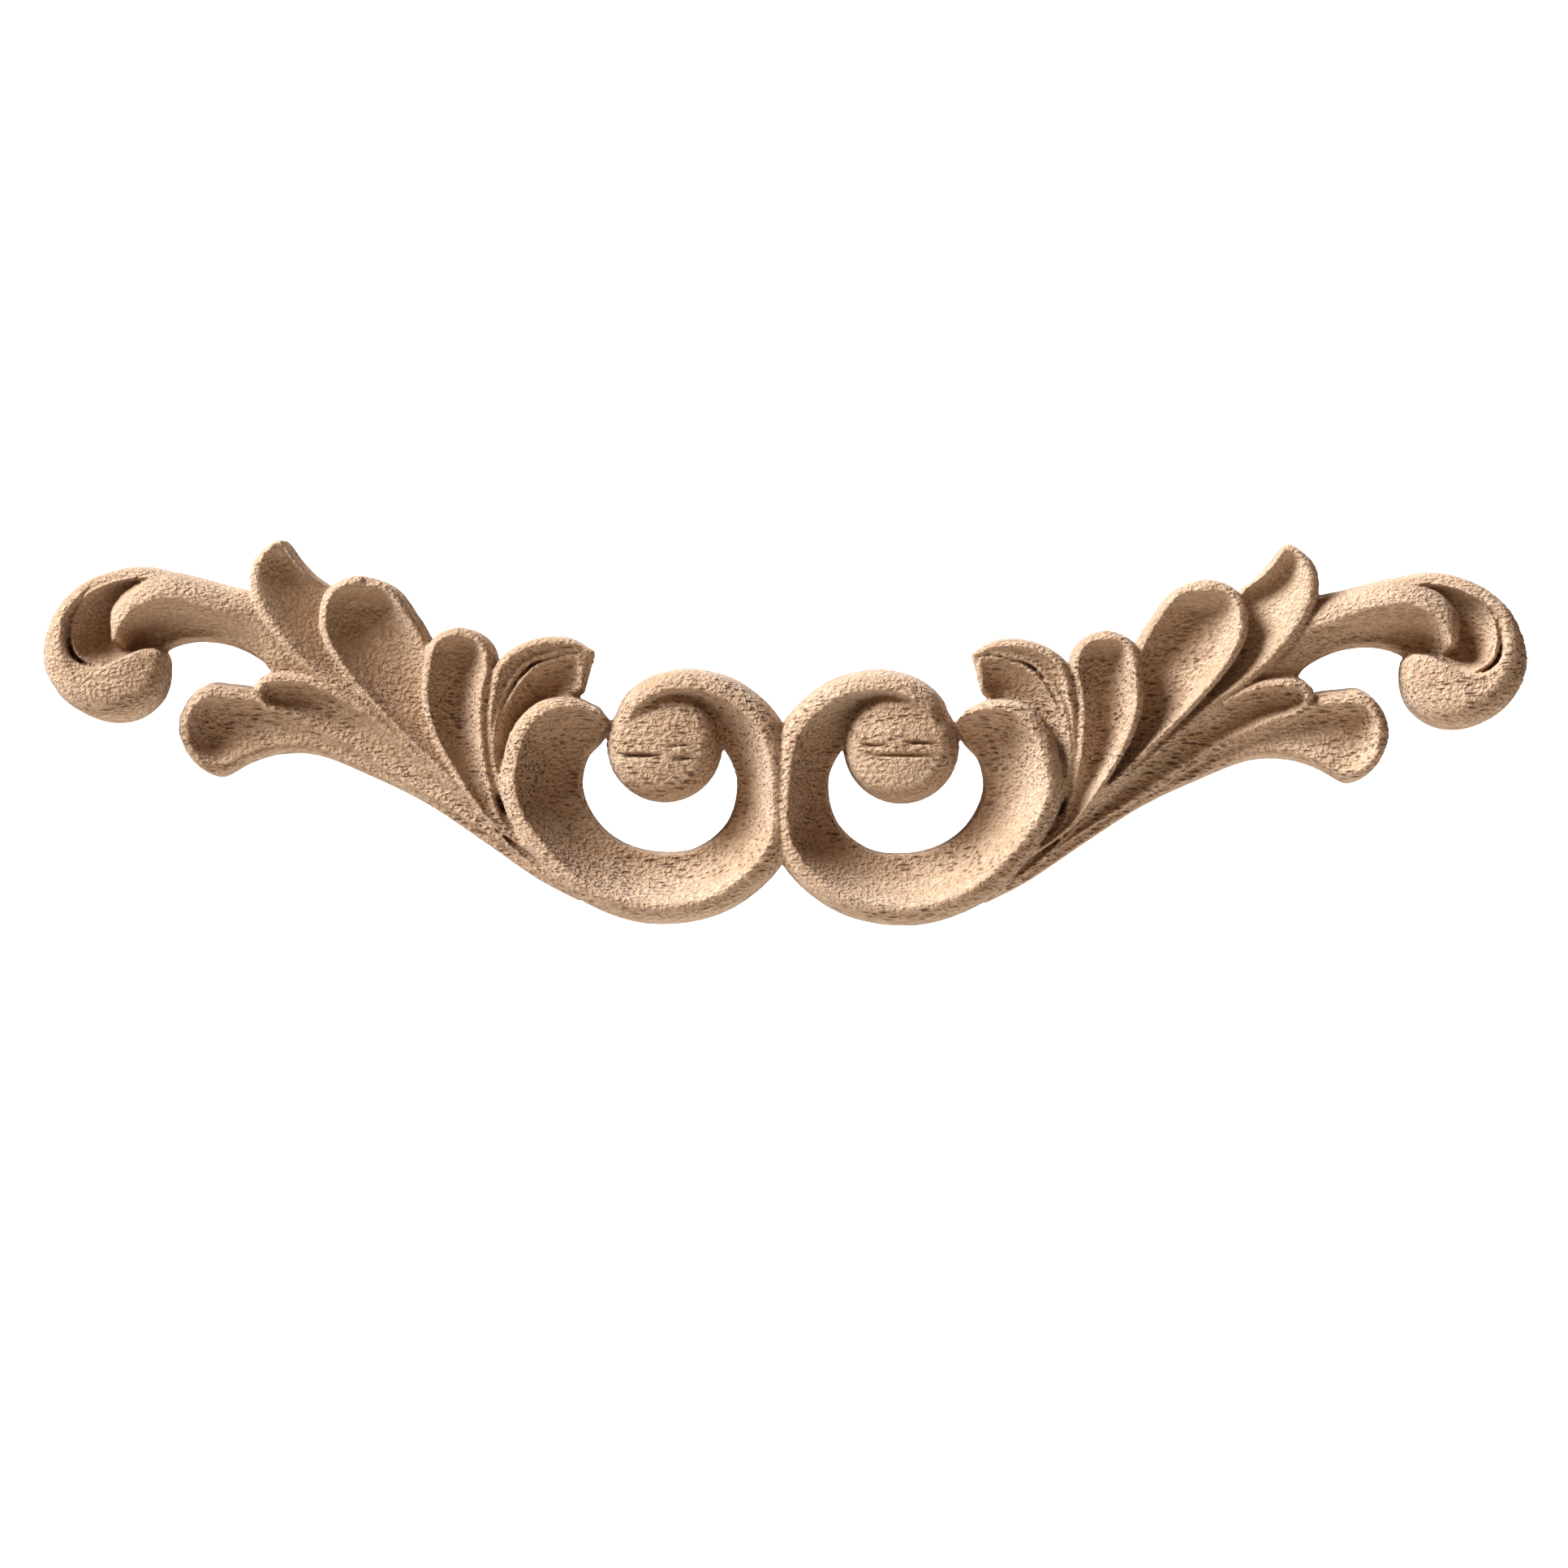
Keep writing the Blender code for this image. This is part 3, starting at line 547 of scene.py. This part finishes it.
fuse = carved.modifiers.new("fuse", "REMESH")
fuse.mode = "VOXEL"
fuse.voxel_size = VOXEL
fuse.adaptivity = 0.0
relax = carved.modifiers.new("relax", "SMOOTH")
relax.factor = SMOOTH_SHARE
relax.iterations = SMOOTH_ROUNDS
bake_modifiers(carved)
print("fused skin:", len(carved.data.polygons), "faces")

# %% [markdown]
# ## Cutting the back flat
#
# The lofts reach a little below the back, like the waste that is sawn off last. A bisecting plane at the
# back, where Y is 0, removes it, and the cut is filled with large flat faces, which costs almost nothing.

# %% Flat back
BACK_NORMAL = (0, 1, 0)
ON_PLANE = 1e-6


def cut_back(mesh_data):
    """Remove all that lies behind the back plane and close the cut."""
    work = bmesh.new()
    work.from_mesh(mesh_data)
    everything = work.verts[:] + work.edges[:] + work.faces[:]
    bmesh.ops.bisect_plane(
        work, geom=everything, plane_co=(0, 0, 0), plane_no=BACK_NORMAL, clear_outer=True, dist=ON_PLANE,
    )
    rim = [edge for edge in work.edges if edge.is_boundary]
    bmesh.ops.triangle_fill(work, edges=rim, use_beauty=True, use_dissolve=False)
    bmesh.ops.recalc_face_normals(work, faces=work.faces)
    work.to_mesh(mesh_data)
    open_edges = sum(1 for edge in work.edges if not edge.is_manifold)
    work.free()
    return open_edges


print("open edges after the cut:", cut_back(carved.data))

# %% [markdown]
# ## Lines cut with a pointed tool
#
# Some lines are too fine for a loft. One parts the curl's gutter from the roll around it and leaves a
# thin lip, one parts the two fan leaves along a thin vein, and each eye has long splits where its grain
# lies open. Each line is a smooth path seen from the front. The skin near it is pushed into the wood,
# or out of it where the depth is negative, most on the path itself and less towards both ends.

# %% Fine lines
# Each line is read at this many places, and it fades over this share of its length at either end
LINE_STATIONS = 80
LINE_END = 0.35
BOTH = (-1, 1)
LEFT = (-1,)
RIGHT = (1,)

# Where each line is, its points as distance from the middle and height, half its width, and its depth
FINE_LINES = [
    # The curl: the line beside its gutter, and the gutter's lip
    (BOTH, [(91.0, 28.0), (93.4, 26.6), (95.3, 23.8), (95.9, 20.8), (95.2, 18.4), (93.2, 17.1)], 0.35, 0.5),
    (BOTH, [(88.3, 27.8), (92.0, 26.2), (94.3, 23.6), (95.0, 20.8), (93.9, 18.4), (90.8, 17.2)], 0.4, -0.4),
    # The fan: the line between its two leaves, and the vein beside it
    (LEFT, [(38.7, 8.6), (38.0, 10.4), (36.8, 13.0), (35.5, 15.1), (33.9, 16.8), (32.3, 17.9)], 0.35, 0.4),
    (BOTH, [(31.0, 16.9), (33.6, 15.9), (35.6, 13.6), (37.0, 10.4), (37.9, 6.8), (38.0, 4.0)], 0.35, -0.35),
    # The splits in the left eye, then those in the right one
    (LEFT, [(22.0, 4.8), (18.5, 4.7), (15.4, 4.8)], 0.34, 0.8),
    (LEFT, [(15.6, 5.9), (13.6, 6.1), (11.6, 6.0)], 0.3, 0.4),
    (LEFT, [(15.0, 4.4), (13.2, 4.3), (11.4, 4.4)], 0.3, 0.4),
    (RIGHT, [(10.4, 6.3), (12.6, 6.2), (14.8, 6.3)], 0.32, 0.6),
    (RIGHT, [(16.2, 6.5), (18.6, 6.6), (21.0, 6.5)], 0.32, 0.6),
    (RIGHT, [(10.6, 4.8), (16.0, 4.9), (21.4, 4.8)], 0.32, 0.6),
]


def cut_lines(mesh_data, lines):
    """Push the skin in or out along each line, and count the points that moved."""
    count = len(mesh_data.vertices)
    places = np.empty(count * 3, dtype=np.float32)
    facings = np.empty(count * 3, dtype=np.float32)
    mesh_data.vertices.foreach_get("co", places)
    mesh_data.vertices.foreach_get("normal", facings)
    places = places.reshape(-1, 3) * 1000
    front = facings.reshape(-1, 3)[:, 1] < 0
    seen = places[:, [0, 2]]
    moved = 0
    for sides, path, half_width, depth in lines:
        rows = smooth_rungs([(point, point) for point in path], LINE_STATIONS, 1.0, 0.0)
        for side in sides:
            line = np.array([(side * row[0], row[1]) for _, _, row in rows])
            low = line.min(axis=0) - half_width
            high = line.max(axis=0) + half_width
            near = np.nonzero(front & np.all((seen > low) & (seen < high), axis=1))[0]
            gaps = np.linalg.norm(seen[near, None, :] - line[None, :, :], axis=2)
            share = gaps.argmin(axis=1) / (LINE_STATIONS - 1)
            fade = np.clip(np.minimum(share, 1 - share) / LINE_END, 0.0, 1.0)
            across = np.clip(1 - (gaps.min(axis=1) / half_width) ** 2, 0.0, 1.0)
            places[near, 1] += depth * fade * across
            moved += int(np.count_nonzero(fade * across))
    mesh_data.vertices.foreach_set("co", (places / 1000).astype(np.float32).ravel())
    mesh_data.update()
    return moved


print("points moved by the lines:", cut_lines(carved.data, FINE_LINES))

# %% [markdown]
# ## Fuzz and torn fibre
#
# A spinning cutter leaves raw hardwood slightly furry, and where it crosses the grain, on walls that
# face along X, it tears the fibres into small ragged teeth. Both are one rule over the whole surface,
# so a Geometry Nodes tree pushes the points: fuzz along the normal, teeth along the grain. The back
# stays flat.

# %% A small helper for node trees


def add_node(tree, kind, inputs=(), **settings):
    """Add a node with its settings; each input, by name or number, gets a value or a link from a socket."""
    node = tree.nodes.new(kind)
    for key, value in settings.items():
        setattr(node, key, value)
    for name, value in dict(inputs).items():
        if isinstance(value, bpy.types.NodeSocket):
            tree.links.new(value, node.inputs[name])
        else:
            node.inputs[name].default_value = value
    return node


# %% The relief tree
# Sizes in metres. Points nearer to the back than its zone aren't moved.
RELIEF_SIZES = {"Fuzz height": 0.00009, "Fuzz size": 0.0007, "Tear depth": 0.0004, "Tear pitch": 0.0008}
BACK_ZONE = 0.0004

# How detailed each noise is, how the teeth are drawn out along X, and how much deeper they go in than out
FUZZ_DETAIL = 3.0
TEAR_DETAIL = 1.5
TEAR_STRETCH = (1 / 6, 0.8, 1.0)
TEAR_BIAS = -1.1


def relief_tree(material):
    """Points pushed by fuzz along the normal and by torn fibre along X."""
    tree = bpy.data.node_groups.new("fuzz_and_torn_fibre", "GeometryNodeTree")
    tree.interface.new_socket("Geometry", in_out="INPUT", socket_type="NodeSocketGeometry")
    for name in RELIEF_SIZES:
        tree.interface.new_socket(name, in_out="INPUT", socket_type="NodeSocketFloat")
    tree.interface.new_socket("Geometry", in_out="OUTPUT", socket_type="NodeSocketGeometry")
    given = add_node(tree, "NodeGroupInput").outputs
    place = add_node(tree, "GeometryNodeInputPosition").outputs[0]
    normal = add_node(tree, "GeometryNodeInputNormal").outputs[0]
    axes = add_node(tree, "ShaderNodeSeparateXYZ", {0: place}).outputs
    facing = add_node(tree, "ShaderNodeSeparateXYZ", {0: normal}).outputs["X"]
    front = add_node(tree, "ShaderNodeMath", {0: axes["Y"], 1: -BACK_ZONE}, operation="LESS_THAN").outputs[0]

    # Fuzz: a fine noise, up to the given height either way, and none near the back
    fineness = add_node(
        tree, "ShaderNodeMath", {0: 1.0, 1: given["Fuzz size"]}, operation="DIVIDE",
    ).outputs[0]
    fuzz = add_node(
        tree, "ShaderNodeTexNoise", {"Vector": place, "Scale": fineness, "Detail": FUZZ_DETAIL},
    ).outputs[0]
    fuzz = add_node(tree, "ShaderNodeMath", {0: fuzz, 1: 2.0, 2: -1.0}, operation="MULTIPLY_ADD").outputs[0]
    fuzz = add_node(
        tree, "ShaderNodeMath", {0: fuzz, 1: given["Fuzz height"]}, operation="MULTIPLY",
    ).outputs[0]
    fuzz = add_node(tree, "ShaderNodeMath", {0: fuzz, 1: front}, operation="MULTIPLY").outputs[0]
    along_normal = add_node(
        tree, "ShaderNodeVectorMath", {0: normal, "Scale": fuzz}, operation="SCALE",
    ).outputs[0]

    # Torn fibre: teeth one pitch wide and six long, deepest on walls that face along the grain
    stretch = add_node(
        tree, "ShaderNodeVectorMath", {0: place, 1: TEAR_STRETCH}, operation="MULTIPLY",
    ).outputs[0]
    pitch = add_node(tree, "ShaderNodeMath", {0: 1.0, 1: given["Tear pitch"]}, operation="DIVIDE").outputs[0]
    teeth = add_node(
        tree, "ShaderNodeTexNoise", {"Vector": stretch, "Scale": pitch, "Detail": TEAR_DETAIL},
    ).outputs[0]
    teeth = add_node(
        tree, "ShaderNodeMath", {0: teeth, 1: 2.0, 2: TEAR_BIAS}, operation="MULTIPLY_ADD",
    ).outputs[0]
    steep = add_node(tree, "ShaderNodeMath", {0: facing, 1: 0.0}, operation="ABSOLUTE").outputs[0]
    steep = add_node(tree, "ShaderNodeMath", {0: steep, 1: facing}, operation="MULTIPLY").outputs[0]
    teeth = add_node(tree, "ShaderNodeMath", {0: teeth, 1: steep}, operation="MULTIPLY").outputs[0]
    teeth = add_node(
        tree, "ShaderNodeMath", {0: teeth, 1: given["Tear depth"]}, operation="MULTIPLY",
    ).outputs[0]
    teeth = add_node(tree, "ShaderNodeMath", {0: teeth, 1: front}, operation="MULTIPLY").outputs[0]
    along_grain = add_node(tree, "ShaderNodeCombineXYZ", {"X": teeth}).outputs[0]

    offset = add_node(
        tree, "ShaderNodeVectorMath", {0: along_normal, 1: along_grain}, operation="ADD",
    ).outputs[0]
    moved = add_node(
        tree, "GeometryNodeSetPosition", {"Geometry": given["Geometry"], "Offset": offset},
    ).outputs[0]
    real = add_node(tree, "GeometryNodeRealizeInstances", {"Geometry": moved}).outputs[0]
    painted = add_node(tree, "GeometryNodeSetMaterial", {"Geometry": real, "Material": material}).outputs[0]
    add_node(tree, "NodeGroupOutput", {"Geometry": painted})
    return tree


# %% [markdown]
# ## Raw hardwood
#
# The wood is unfinished, like beech or rubberwood straight from the machine: pale tan, quite matt, with
# a grain that runs along X. Its pores are short dark tubes along the grain. On faces that lie along the
# grain they show as dashes a few millimetres long, and on faces that cut it they show as dots. A solid
# texture in Object coordinates that is stretched along X gives both, with no unwrapping.

# %% Wood colours and patterns
WOOD_LIGHT = "D6BDA2"
WOOD_DEEP = "C9AC8F"
# Colour of the pores, which also serves as the painted shade between the fuzz fibres
PORE_AND_SHADE_DARK = "5E3B26"

# Size of each pattern in millimetres, along the grain and across it. Real fuzz is finer than this: it is
# drawn as coarse as it needs to be to show.
PATTERNS = {
    "streaks": (26.0, 1.7), "broad": (60.0, 9.0), "fuzz": (0.6, 0.45), "fibres": (4.0, 0.45),
    "pores": (2.2, 0.52), "slits": (7.0, 1.5), "open_areas": (15.0, 5.5),
}
CLOUDY = ("streaks", "broad", "fuzz", "fibres", "open_areas")
CLOUD_DETAIL = 2.5
PATTERN_SHIFT = (3.7, 5.3, 7.9)

# Levels of the noise between which each cloudy pattern goes from none to full
BAND_RANGE = (0.75, 1.25)
FUZZ_RANGE = (0.33, 0.67)
OPEN_RANGE = (0.32, 0.56)

# Distances from a pore's middle, in shares of a cell, between which it goes from full to none
PORE_RANGE = (0.16, 0.42)
SLIT_RANGE = (0.07, 0.15)

# Open pores fade in over this range of heights, in metres, which rises a little towards the right
PORE_HEIGHTS = (0.027, 0.013)
PORE_TILT = -0.05


def linear(hex_colour):
    """Scene-linear colour of an sRGB hex value."""
    parts = [int(hex_colour[k:k + 2], 16) / 255 for k in (0, 2, 4)]
    return [p / 12.92 if p <= 0.04045 else ((p + 0.055) / 1.055) ** 2.4 for p in parts] + [1.0]


print("patterns:", ", ".join(f"{name} {length} x {width} mm" for name, (length, width) in PATTERNS.items()))

# %% Wood finish
ROUGHNESS = 0.9
SPECULAR = 0.2
SHEEN = 0.22
SHEEN_ROUGHNESS = 0.5

# How far the painted shade between the fuzz fibres and the pores turn dark, how much fibres and pores count
# in the relief, and its height in metres
DIP_SHADE = 0.26
PORE_TINT = 0.65
FIBRE_RELIEF = 0.5
PORE_RELIEF = -0.8
RELIEF_HEIGHT = 0.00024


def wood_pores(tree, spots, open_areas):
    """Dark cells and long slits where the grain lies open, from 0 for sound wood to 1 for a pore."""
    marks = []
    for name, (core, edge) in (("pores", PORE_RANGE), ("slits", SLIT_RANGE)):
        cells = add_node(tree, "ShaderNodeTexVoronoi", {"Vector": spots[name], "Scale": 1.0}).outputs
        mark = add_node(
            tree, "ShaderNodeMapRange",
            {"Value": cells["Distance"], "From Min": core, "From Max": edge, "To Min": 1.0, "To Max": 0.0},
        ).outputs[0]
        mark = add_node(tree, "ShaderNodeMath", {0: mark, 1: open_areas}, operation="MULTIPLY").outputs[0]
        marks.append(mark)
    return add_node(tree, "ShaderNodeMath", {0: marks[0], 1: marks[1]}, operation="MAXIMUM").outputs[0]


def raw_hardwood():
    """Pale, matt, open-pored hardwood with its grain along X."""
    wood = bpy.data.materials.new("raw_hardwood")
    wood.use_nodes = True
    tree = wood.node_tree
    shader = tree.nodes["Principled BSDF"]
    shader.inputs["Roughness"].default_value = ROUGHNESS
    shader.inputs["Specular IOR Level"].default_value = SPECULAR
    shader.inputs["Sheen Weight"].default_value = SHEEN
    shader.inputs["Sheen Roughness"].default_value = SHEEN_ROUGHNESS
    place = add_node(tree, "ShaderNodeTexCoord").outputs["Object"]
    spots = {}
    for seed, (name, (length, width)) in enumerate(PATTERNS.items()):
        scale = (1000 / length, 1000 / width, 1000 / width)
        shift = [part * seed for part in PATTERN_SHIFT]
        spots[name] = add_node(
            tree, "ShaderNodeMapping", {"Vector": place, "Location": shift, "Scale": scale},
        ).outputs[0]
    noises = {}
    for name in CLOUDY:
        noises[name] = add_node(
            tree, "ShaderNodeTexNoise", {"Vector": spots[name], "Scale": 1.0, "Detail": CLOUD_DETAIL},
        ).outputs[0]

    # Colour of the wood itself: streaks along the grain in broad lighter and deeper bands
    bands = add_node(
        tree, "ShaderNodeMath", {0: noises["streaks"], 1: noises["broad"]}, operation="ADD",
    ).outputs[0]
    bands = add_node(
        tree, "ShaderNodeMapRange", {"Value": bands, "From Min": BAND_RANGE[0], "From Max": BAND_RANGE[1]},
    ).outputs[0]
    colour = add_node(
        tree, "ShaderNodeMix", {0: bands, 6: linear(WOOD_LIGHT), 7: linear(WOOD_DEEP)}, data_type="RGBA",
    ).outputs[2]

    # Fuzz: raised fibres are left as they are, and the low spots between them get painted shade, mixed
    # towards the dark pore colour
    fuzz = add_node(
        tree, "ShaderNodeMapRange",
        {"Value": noises["fuzz"], "From Min": FUZZ_RANGE[0], "From Max": FUZZ_RANGE[1]},
    ).outputs[0]
    dip_shade = add_node(
        tree, "ShaderNodeMapRange", {"Value": fuzz, "To Min": DIP_SHADE, "To Max": 0.0},
    ).outputs[0]
    colour = add_node(
        tree, "ShaderNodeMix", {0: dip_shade, 6: colour, 7: linear(PORE_AND_SHADE_DARK)}, data_type="RGBA",
    ).outputs[2]

    # Pores: short cells and a few long slits, in patches of open grain in the lower bands of the board
    axes = add_node(tree, "ShaderNodeSeparateXYZ", {0: place}).outputs
    height = add_node(
        tree, "ShaderNodeMath", {0: axes["X"], 1: PORE_TILT, 2: axes["Z"]}, operation="MULTIPLY_ADD",
    ).outputs[0]
    low = add_node(
        tree, "ShaderNodeMapRange",
        {"Value": height, "From Min": PORE_HEIGHTS[0], "From Max": PORE_HEIGHTS[1]},
    ).outputs[0]
    open_areas = add_node(
        tree, "ShaderNodeMapRange",
        {"Value": noises["open_areas"], "From Min": OPEN_RANGE[0], "From Max": OPEN_RANGE[1]},
    ).outputs[0]
    open_areas = add_node(tree, "ShaderNodeMath", {0: open_areas, 1: low}, operation="MULTIPLY").outputs[0]
    pores = wood_pores(tree, spots, open_areas)
    tint = add_node(tree, "ShaderNodeMath", {0: pores, 1: PORE_TINT}, operation="MULTIPLY").outputs[0]
    colour = add_node(
        tree, "ShaderNodeMix", {0: tint, 6: colour, 7: linear(PORE_AND_SHADE_DARK)}, data_type="RGBA",
    ).outputs[2]
    tree.links.new(colour, shader.inputs["Base Color"])

    # The same patterns as fine relief: fuzz and fibres up, pores down
    relief = add_node(
        tree, "ShaderNodeMath", {0: noises["fibres"], 1: FIBRE_RELIEF, 2: fuzz}, operation="MULTIPLY_ADD",
    ).outputs[0]
    relief = add_node(
        tree, "ShaderNodeMath", {0: pores, 1: PORE_RELIEF, 2: relief}, operation="MULTIPLY_ADD",
    ).outputs[0]
    bump = add_node(
        tree, "ShaderNodeBump", {"Height": relief, "Strength": 1.0, "Distance": RELIEF_HEIGHT},
    ).outputs[0]
    tree.links.new(bump, shader.inputs["Normal"])
    return wood


wood = raw_hardwood()
print("wood material:", len(wood.node_tree.nodes), "nodes")

# %% Apply the relief
relief = carved.modifiers.new("relief", "NODES")
relief.node_group = relief_tree(wood)
for item in relief.node_group.interface.items_tree:
    if item.name in RELIEF_SIZES:
        relief[item.identifier] = RELIEF_SIZES[item.name]
bake_modifiers(carved)
carved.data.shade_smooth()
print("with relief:", len(carved.data.polygons), "faces")

# %% [markdown]
# ## Fewer triangles, inside the box
#
# The skin has far more triangles than it needs. Collapsing the least useful edges brings it under the
# limit, and the points are held inside the CAD box.

# %% Thin the mesh
MOST_TRIANGLES = 190000


def thin(obj, limit):
    """Collapse edges until the mesh is under the limit of triangles."""
    total = sum(len(polygon.vertices) - 2 for polygon in obj.data.polygons)
    if total > limit:
        fewer = obj.modifiers.new("fewer", "DECIMATE")
        fewer.ratio = limit / total
        fewer.use_collapse_triangulate = True
        bake_modifiers(obj)
    return sum(len(polygon.vertices) - 2 for polygon in obj.data.polygons)


print("triangles:", thin(carved, MOST_TRIANGLES))
points = np.empty(len(carved.data.vertices) * 3, dtype=np.float32)
carved.data.vertices.foreach_get("co", points)
points = np.clip(points.reshape(-1, 3), cad_box[0], cad_box[1]).astype(np.float32)
carved.data.vertices.foreach_set("co", points.ravel())
carved.data.update()
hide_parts("carved_applique")
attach(carved, "root")

# %% [markdown]
# ## Floor, light and camera
#
# The photograph is a plain catalogue picture on white: the camera looks almost squarely at the carving,
# and one large soft light stands high on the left, low over the surface, so that each rim throws a soft
# shadow into its hollow. The world shows white to the camera but lights the wood only weakly, so the
# hollows stay deep.

# %% Floor
FLOOR_REACH = 0.8
FLOOR_HEIGHT = -0.6
FLOOR_COLOUR = "F4F2EE"
FLOOR_ROUGHNESS = 0.8

corners = [(x * FLOOR_REACH, y * FLOOR_REACH, FLOOR_HEIGHT) for x, y in ((-1, -1), (1, -1), (1, 1), (-1, 1))]
floor_mesh = bpy.data.meshes.new("floor")
floor_mesh.from_pydata(corners, [], [(0, 1, 2, 3)])
floor = bpy.data.objects.new("floor", floor_mesh)
bpy.context.scene.collection.objects.link(floor)
pale = bpy.data.materials.new("pale_floor")
pale.use_nodes = True
pale.node_tree.nodes["Principled BSDF"].inputs["Base Color"].default_value = linear(FLOOR_COLOUR)
pale.node_tree.nodes["Principled BSDF"].inputs["Roughness"].default_value = FLOOR_ROUGHNESS
floor_mesh.materials.append(pale)
print("floor:", 2 * FLOOR_REACH, "m square, at Z =", FLOOR_HEIGHT, "m")

# %% Lights
# Direction that each light comes from, its strength, its apparent width in radians and its colour
KEY_LIGHT = (Vector((-0.68, -0.34, 0.66)), 5.4, 0.5, "F2F7FF")
BACK_LIGHT = (Vector((0.25, 0.9, 0.35)), 1.6, 0.6, "FFFFFF")


def sun(name, towards, energy, angle, colour):
    """A soft distant light that comes from a direction."""
    light = bpy.data.lights.new(name, "SUN")
    light.color = linear(colour)[:3]
    light.energy = energy
    light.angle = angle
    obj = bpy.data.objects.new(name, light)
    obj.rotation_euler = towards.to_track_quat("Z", "Y").to_euler()
    bpy.context.scene.collection.objects.link(obj)


sun("key_light", *KEY_LIGHT)
sun("back_light", *BACK_LIGHT)
print("lights: a key light from the upper left and a weaker one from behind")

# %% World and contrast
SKY_COLOUR = "FFE2CC"
SKY_STRENGTH = 0.19

world = bpy.data.worlds.new("studio")
bpy.context.scene.world = world
world.use_nodes = True
sky = world.node_tree
sky.nodes.clear()
white = add_node(sky, "ShaderNodeBackground", {"Color": (1, 1, 1, 1), "Strength": 1.0}).outputs[0]
dim = add_node(
    sky, "ShaderNodeBackground", {"Color": linear(SKY_COLOUR), "Strength": SKY_STRENGTH},
).outputs[0]
seen = add_node(sky, "ShaderNodeLightPath").outputs["Is Camera Ray"]
both = add_node(sky, "ShaderNodeMixShader", {0: seen, 1: dim, 2: white}).outputs[0]
add_node(sky, "ShaderNodeOutputWorld", {0: both})
bpy.context.scene.view_settings.view_transform = "Standard"
bpy.context.scene.view_settings.look = "High Contrast"
print("world light on the wood:", SKY_STRENGTH)

# %% Camera
# Width of the view at the carving and the point in its middle, in metres; lens and film in millimetres
FRAME_WIDTH = 0.2108
MIDDLE = Vector((0.00033, -0.005, 0.00098))
LENS = 135.0
FILM_WIDTH = 36.0

# How far the camera is tilted sideways, and how far to the right it stands
ROLL = math.radians(-0.315)
SIDE = math.radians(1.8)

camera_data = bpy.data.cameras.new("camera")
camera_data.lens = LENS
camera_data.sensor_width = FILM_WIDTH
camera = bpy.data.objects.new("camera", camera_data)
distance = FRAME_WIDTH * LENS / FILM_WIDTH
camera.location = MIDDLE + Vector((math.sin(SIDE), -math.cos(SIDE), 0)) * distance
camera.rotation_euler = (math.pi / 2, ROLL, SIDE)
bpy.context.scene.collection.objects.link(camera)
bpy.context.scene.camera = camera
print("camera distance, m:", round(distance, 3))
